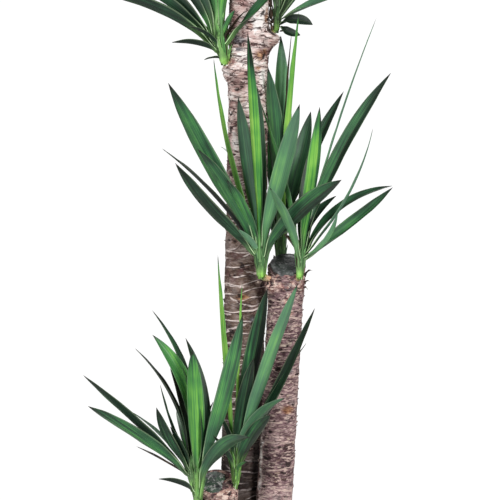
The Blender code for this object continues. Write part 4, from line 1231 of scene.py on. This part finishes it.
def buildPot():
    top, band = pot["height"], pot["height"] - pot["band"]
    base, rim, wall, floor, step = (pot[key] for key in ("baseRadius", "rimRadius", "wall", "floor", "step"))
    inside = rim - 1.0 - wall
    profile = [(30.0, 0.6), (60.0, 0.6), (62.0, 0.0), (84.0, 0.0), (86.0, 0.6), (base - 8.0, 0.6),
               (base - 6.0, 0.0), (base - 2.0, 0.0), (base - 0.6, 0.6), (base, 2.0)]
    profile += [(potRadius(z), z) for z in (4.0, 40.0, 80.0, 120.0, 160.0, 200.0, band - 3.0, band - 0.5)]
    profile += [(rim - 0.8, band + 0.1), (rim - 0.1, band + 0.8), (rim, band + 2.0), (rim - 0.2, band + 8.0),
                (rim - 0.2, top - 4.0), (rim, top - 1.6), (rim - 0.5, top - 0.4), (rim - 1.4, top),
                (rim - 3.0, top), (rim - 3.5, top - 0.6), (inside, top - 2.0), (inside, band + step + 1.0),
                (rim - 1.6 - wall, band + step - 0.5), (potRadius(band) - wall + 0.4, band - wall + 0.4),
                (potRadius(band - 6.0) - wall, band - 6.0), (potRadius(floor + 3.0) - wall, floor + 3.0),
                (potRadius(floor) - wall - 2.0, floor), (30.0, floor)]
    body = lathe("pot_shell", profile, pot["sides"], potMaterial)
    cutters = []
    for hole in range(pot["holes"]):
        angle = tau * (hole + 0.5) / pot["holes"]
        center = Vector((pot["holeRing"] * math.cos(angle), pot["holeRing"] * math.sin(angle), 0.0)) * mm
        cutter = lathe("drainCutter", [(pot["holeRadius"], -3.0), (pot["holeRadius"], 9.0)], 40, potMaterial)
        cutter.data.transform(Matrix.Translation(center))
        cut = body.modifiers.new("drain", "BOOLEAN")
        cut.operation, cut.solver, cut.object = "DIFFERENCE", "EXACT", cutter
        cutters.append(cutter)
    keepEvaluated(body)
    for cutter in cutters:
        bpy.data.objects.remove(cutter)
    body.data.shade_smooth()
    body.data.set_sharp_from_angle(angle=math.radians(35.0))
    return body


say("pot")
finishPiece(buildPot(), "pot_plastic", "pot")


# Soil: a crumbly surface with a tree that scatters crumbs and bark chips over it

soil = {
    "level": 228.0, "roughness": 2.2, "edgeDrop": 8.0, "rings": 62, "sides": 132, "crumbs": 2100,
    "crumbSize": 3.4, "crumbReach": 130.0, "seed": 8,
}


def soilHeight(x, y):
    waves = math.sin(x * 0.061 + 1.3) * math.cos(y * 0.052) + 0.6 * math.sin(x * 0.11 - y * 0.09)
    return soil["level"] + soil["roughness"] * waves


def makeCrumbTree():
    tree, add, start = newGeometryTree("scatteredCrumbs", {
        "Count Per Area": "Float", "Crumb Size": "Float", "Seed": "Int"})
    upper = add("InputNamedAttribute", {"Name": "onTop"}, data_type="FLOAT")
    chosen = add("Compare", (upper, 0.5), "GREATER_THAN")
    marked = strewPoints(add, start, chosen, "crumbSeed", 0)[1]
    crumb = add("MeshIcoSphere", {"Radius": 0.5, "Subdivisions": 2})
    rough = add("SetPosition", {"Geometry": crumb, "Offset": noisyPush(add, 2.4, 2.0)})
    turn = add("RandomValue", {"Max": (tau, tau, tau), "Seed": start["Seed"]}, data_type="FLOAT_VECTOR")
    size = add("RandomValue", {"Min": (0.4, 0.4, 0.2), "Max": (1.5, 1.0, 0.6)}, data_type="FLOAT_VECTOR")
    size = add("VectorMath", {0: size, "Scale": start["Crumb Size"]}, "SCALE")
    placed = add("InstanceOnPoints", {"Points": marked, "Instance": rough, "Rotation": turn, "Scale": size})
    closeTree(add, placed, start["Surface"])
    return tree


def buildSoil():
    level, drop, rings, sides = (soil[key] for key in ("level", "edgeDrop", "rings", "sides"))
    inset = pot["wall"] + pot["gap"]
    floor = pot["floor"] + pot["gap"]
    edge = potRadius(level - drop) - inset
    verts, onTop = [], []
    profile = [(potRadius(floor) - inset - 2.0, floor), (edge, level - drop)]
    profile += [(edge * (1.0 - (step / rings)) + 0.6, None) for step in range(1, rings + 1)]
    for radius, z in profile:
        for i in range(sides):
            angle = tau * i / sides
            x, y = radius * math.cos(angle), radius * math.sin(angle)
            height = z
            if z is None:  # the open surface
                sink = drop * (1.0 - ease((edge - radius) / 9.0)) * 0.8
                height = soilHeight(x, y) - sink + 1.5 * fractal((x, y, 0.0), 0.06)
                height += 0.8 * fractal((x, y, 9.0), 0.3, 2)
            verts.append(Vector((x, y, height)) * mm)
            onTop.append(float(z is None))
    obj = ringObject("soil_surface", verts, sides, soilMaterial)
    storeValues(obj.data, {"onTop": onTop})
    obj.data.shade_smooth()
    return obj


say("soil")
soilPiece = buildSoil()
finishPiece(soilPiece, "potting_soil", "potting_soil")
soilArea = math.pi * (soil["crumbReach"] * mm) ** 2
finishPiece(strewOver(soilPiece, "soil_crumbs", makeCrumbTree(), {
    "Count Per Area": soil["crumbs"] / soilArea, "Crumb Size": soil["crumbSize"] * mm, "Seed": soil["seed"],
    "Surface": crumbMaterial}), "potting_soil")


# Studio: white surroundings, one large soft box at the right front, a weaker one at the left and one behind

studio = {
    "target": (0.0075, 0.0, 0.878), "distance": 3.4, "elevation": 5.0, "lens": 163.2, "sensor": 36.0,
    "skyLight": 0.3, "skyShown": 1.06, "floorRadius": 1700.0,
    "lights": (  # place, size, watts
        ((1.7, -2.9, 2.5), 1.1, 106.0), ((-2.2, -2.4, 2.0), 1.1, 58.0), ((0.4, 2.6, 2.6), 1.6, 40.0)),
}


def buildStudio():
    scene = bpy.context.scene
    target = Vector(studio["target"])
    camera = bpy.data.objects.new("camera", bpy.data.cameras.new("camera"))
    tilt = math.radians(studio["elevation"])
    camera.location = target + Vector((0.0, -math.cos(tilt), math.sin(tilt))) * studio["distance"]
    camera.rotation_euler = (math.radians(90.0) - tilt, 0.0, 0.0)
    camera.data.lens, camera.data.sensor_width = studio["lens"], studio["sensor"]
    camera.data.clip_start, camera.data.clip_end = 0.05, 50.0
    scene.collection.objects.link(camera)
    scene.camera = camera
    for number, (place, size, watts) in enumerate(studio["lights"]):
        lamp = bpy.data.lights.new(f"softBox{number}", "AREA")
        lamp.shape, lamp.size, lamp.energy = "DISK", size, watts
        holder = bpy.data.objects.new(lamp.name, lamp)
        holder.location = place
        holder.rotation_euler = (target - Vector(place)).to_track_quat("-Z", "Y").to_euler()
        scene.collection.objects.link(holder)
    scene.world = bpy.data.worlds.new("whiteStudio")
    scene.world.use_nodes = True
    tree = scene.world.node_tree
    shown = addNode(tree, "LightPath").outputs["Is Camera Ray"]
    strength = addNode(tree, "MapRange", (shown, 0.0, 1.0, studio["skyLight"], studio["skyShown"]))
    tree.links.new(strength.outputs["Result"], tree.nodes["Background"].inputs["Strength"])
    tree.nodes["Background"].inputs["Color"].default_value = (1.0, 1.0, 1.0, 1.0)
    scene.view_settings.view_transform = "Standard"

    # matt white paper that fades out at its edge
    material, add, place = newMaterial("paleStudioPaper")[:3]
    away = add("VectorMath", (place,), "LENGTH").outputs["Value"]
    reach = studio["floorRadius"]
    fade = add("MapRange", (away, reach * mm * 0.45, reach * mm, 1.0, 0.0), **smooth)
    setShader(material, {"Alpha": fade}, Base_Color=hexColor("#f4f3f1"), Roughness=0.9)
    floor = lathe("floor", [(reach, -0.4), (reach, -0.2)], 96, material)


say("studio")
buildStudio()

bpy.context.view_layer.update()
say("done")
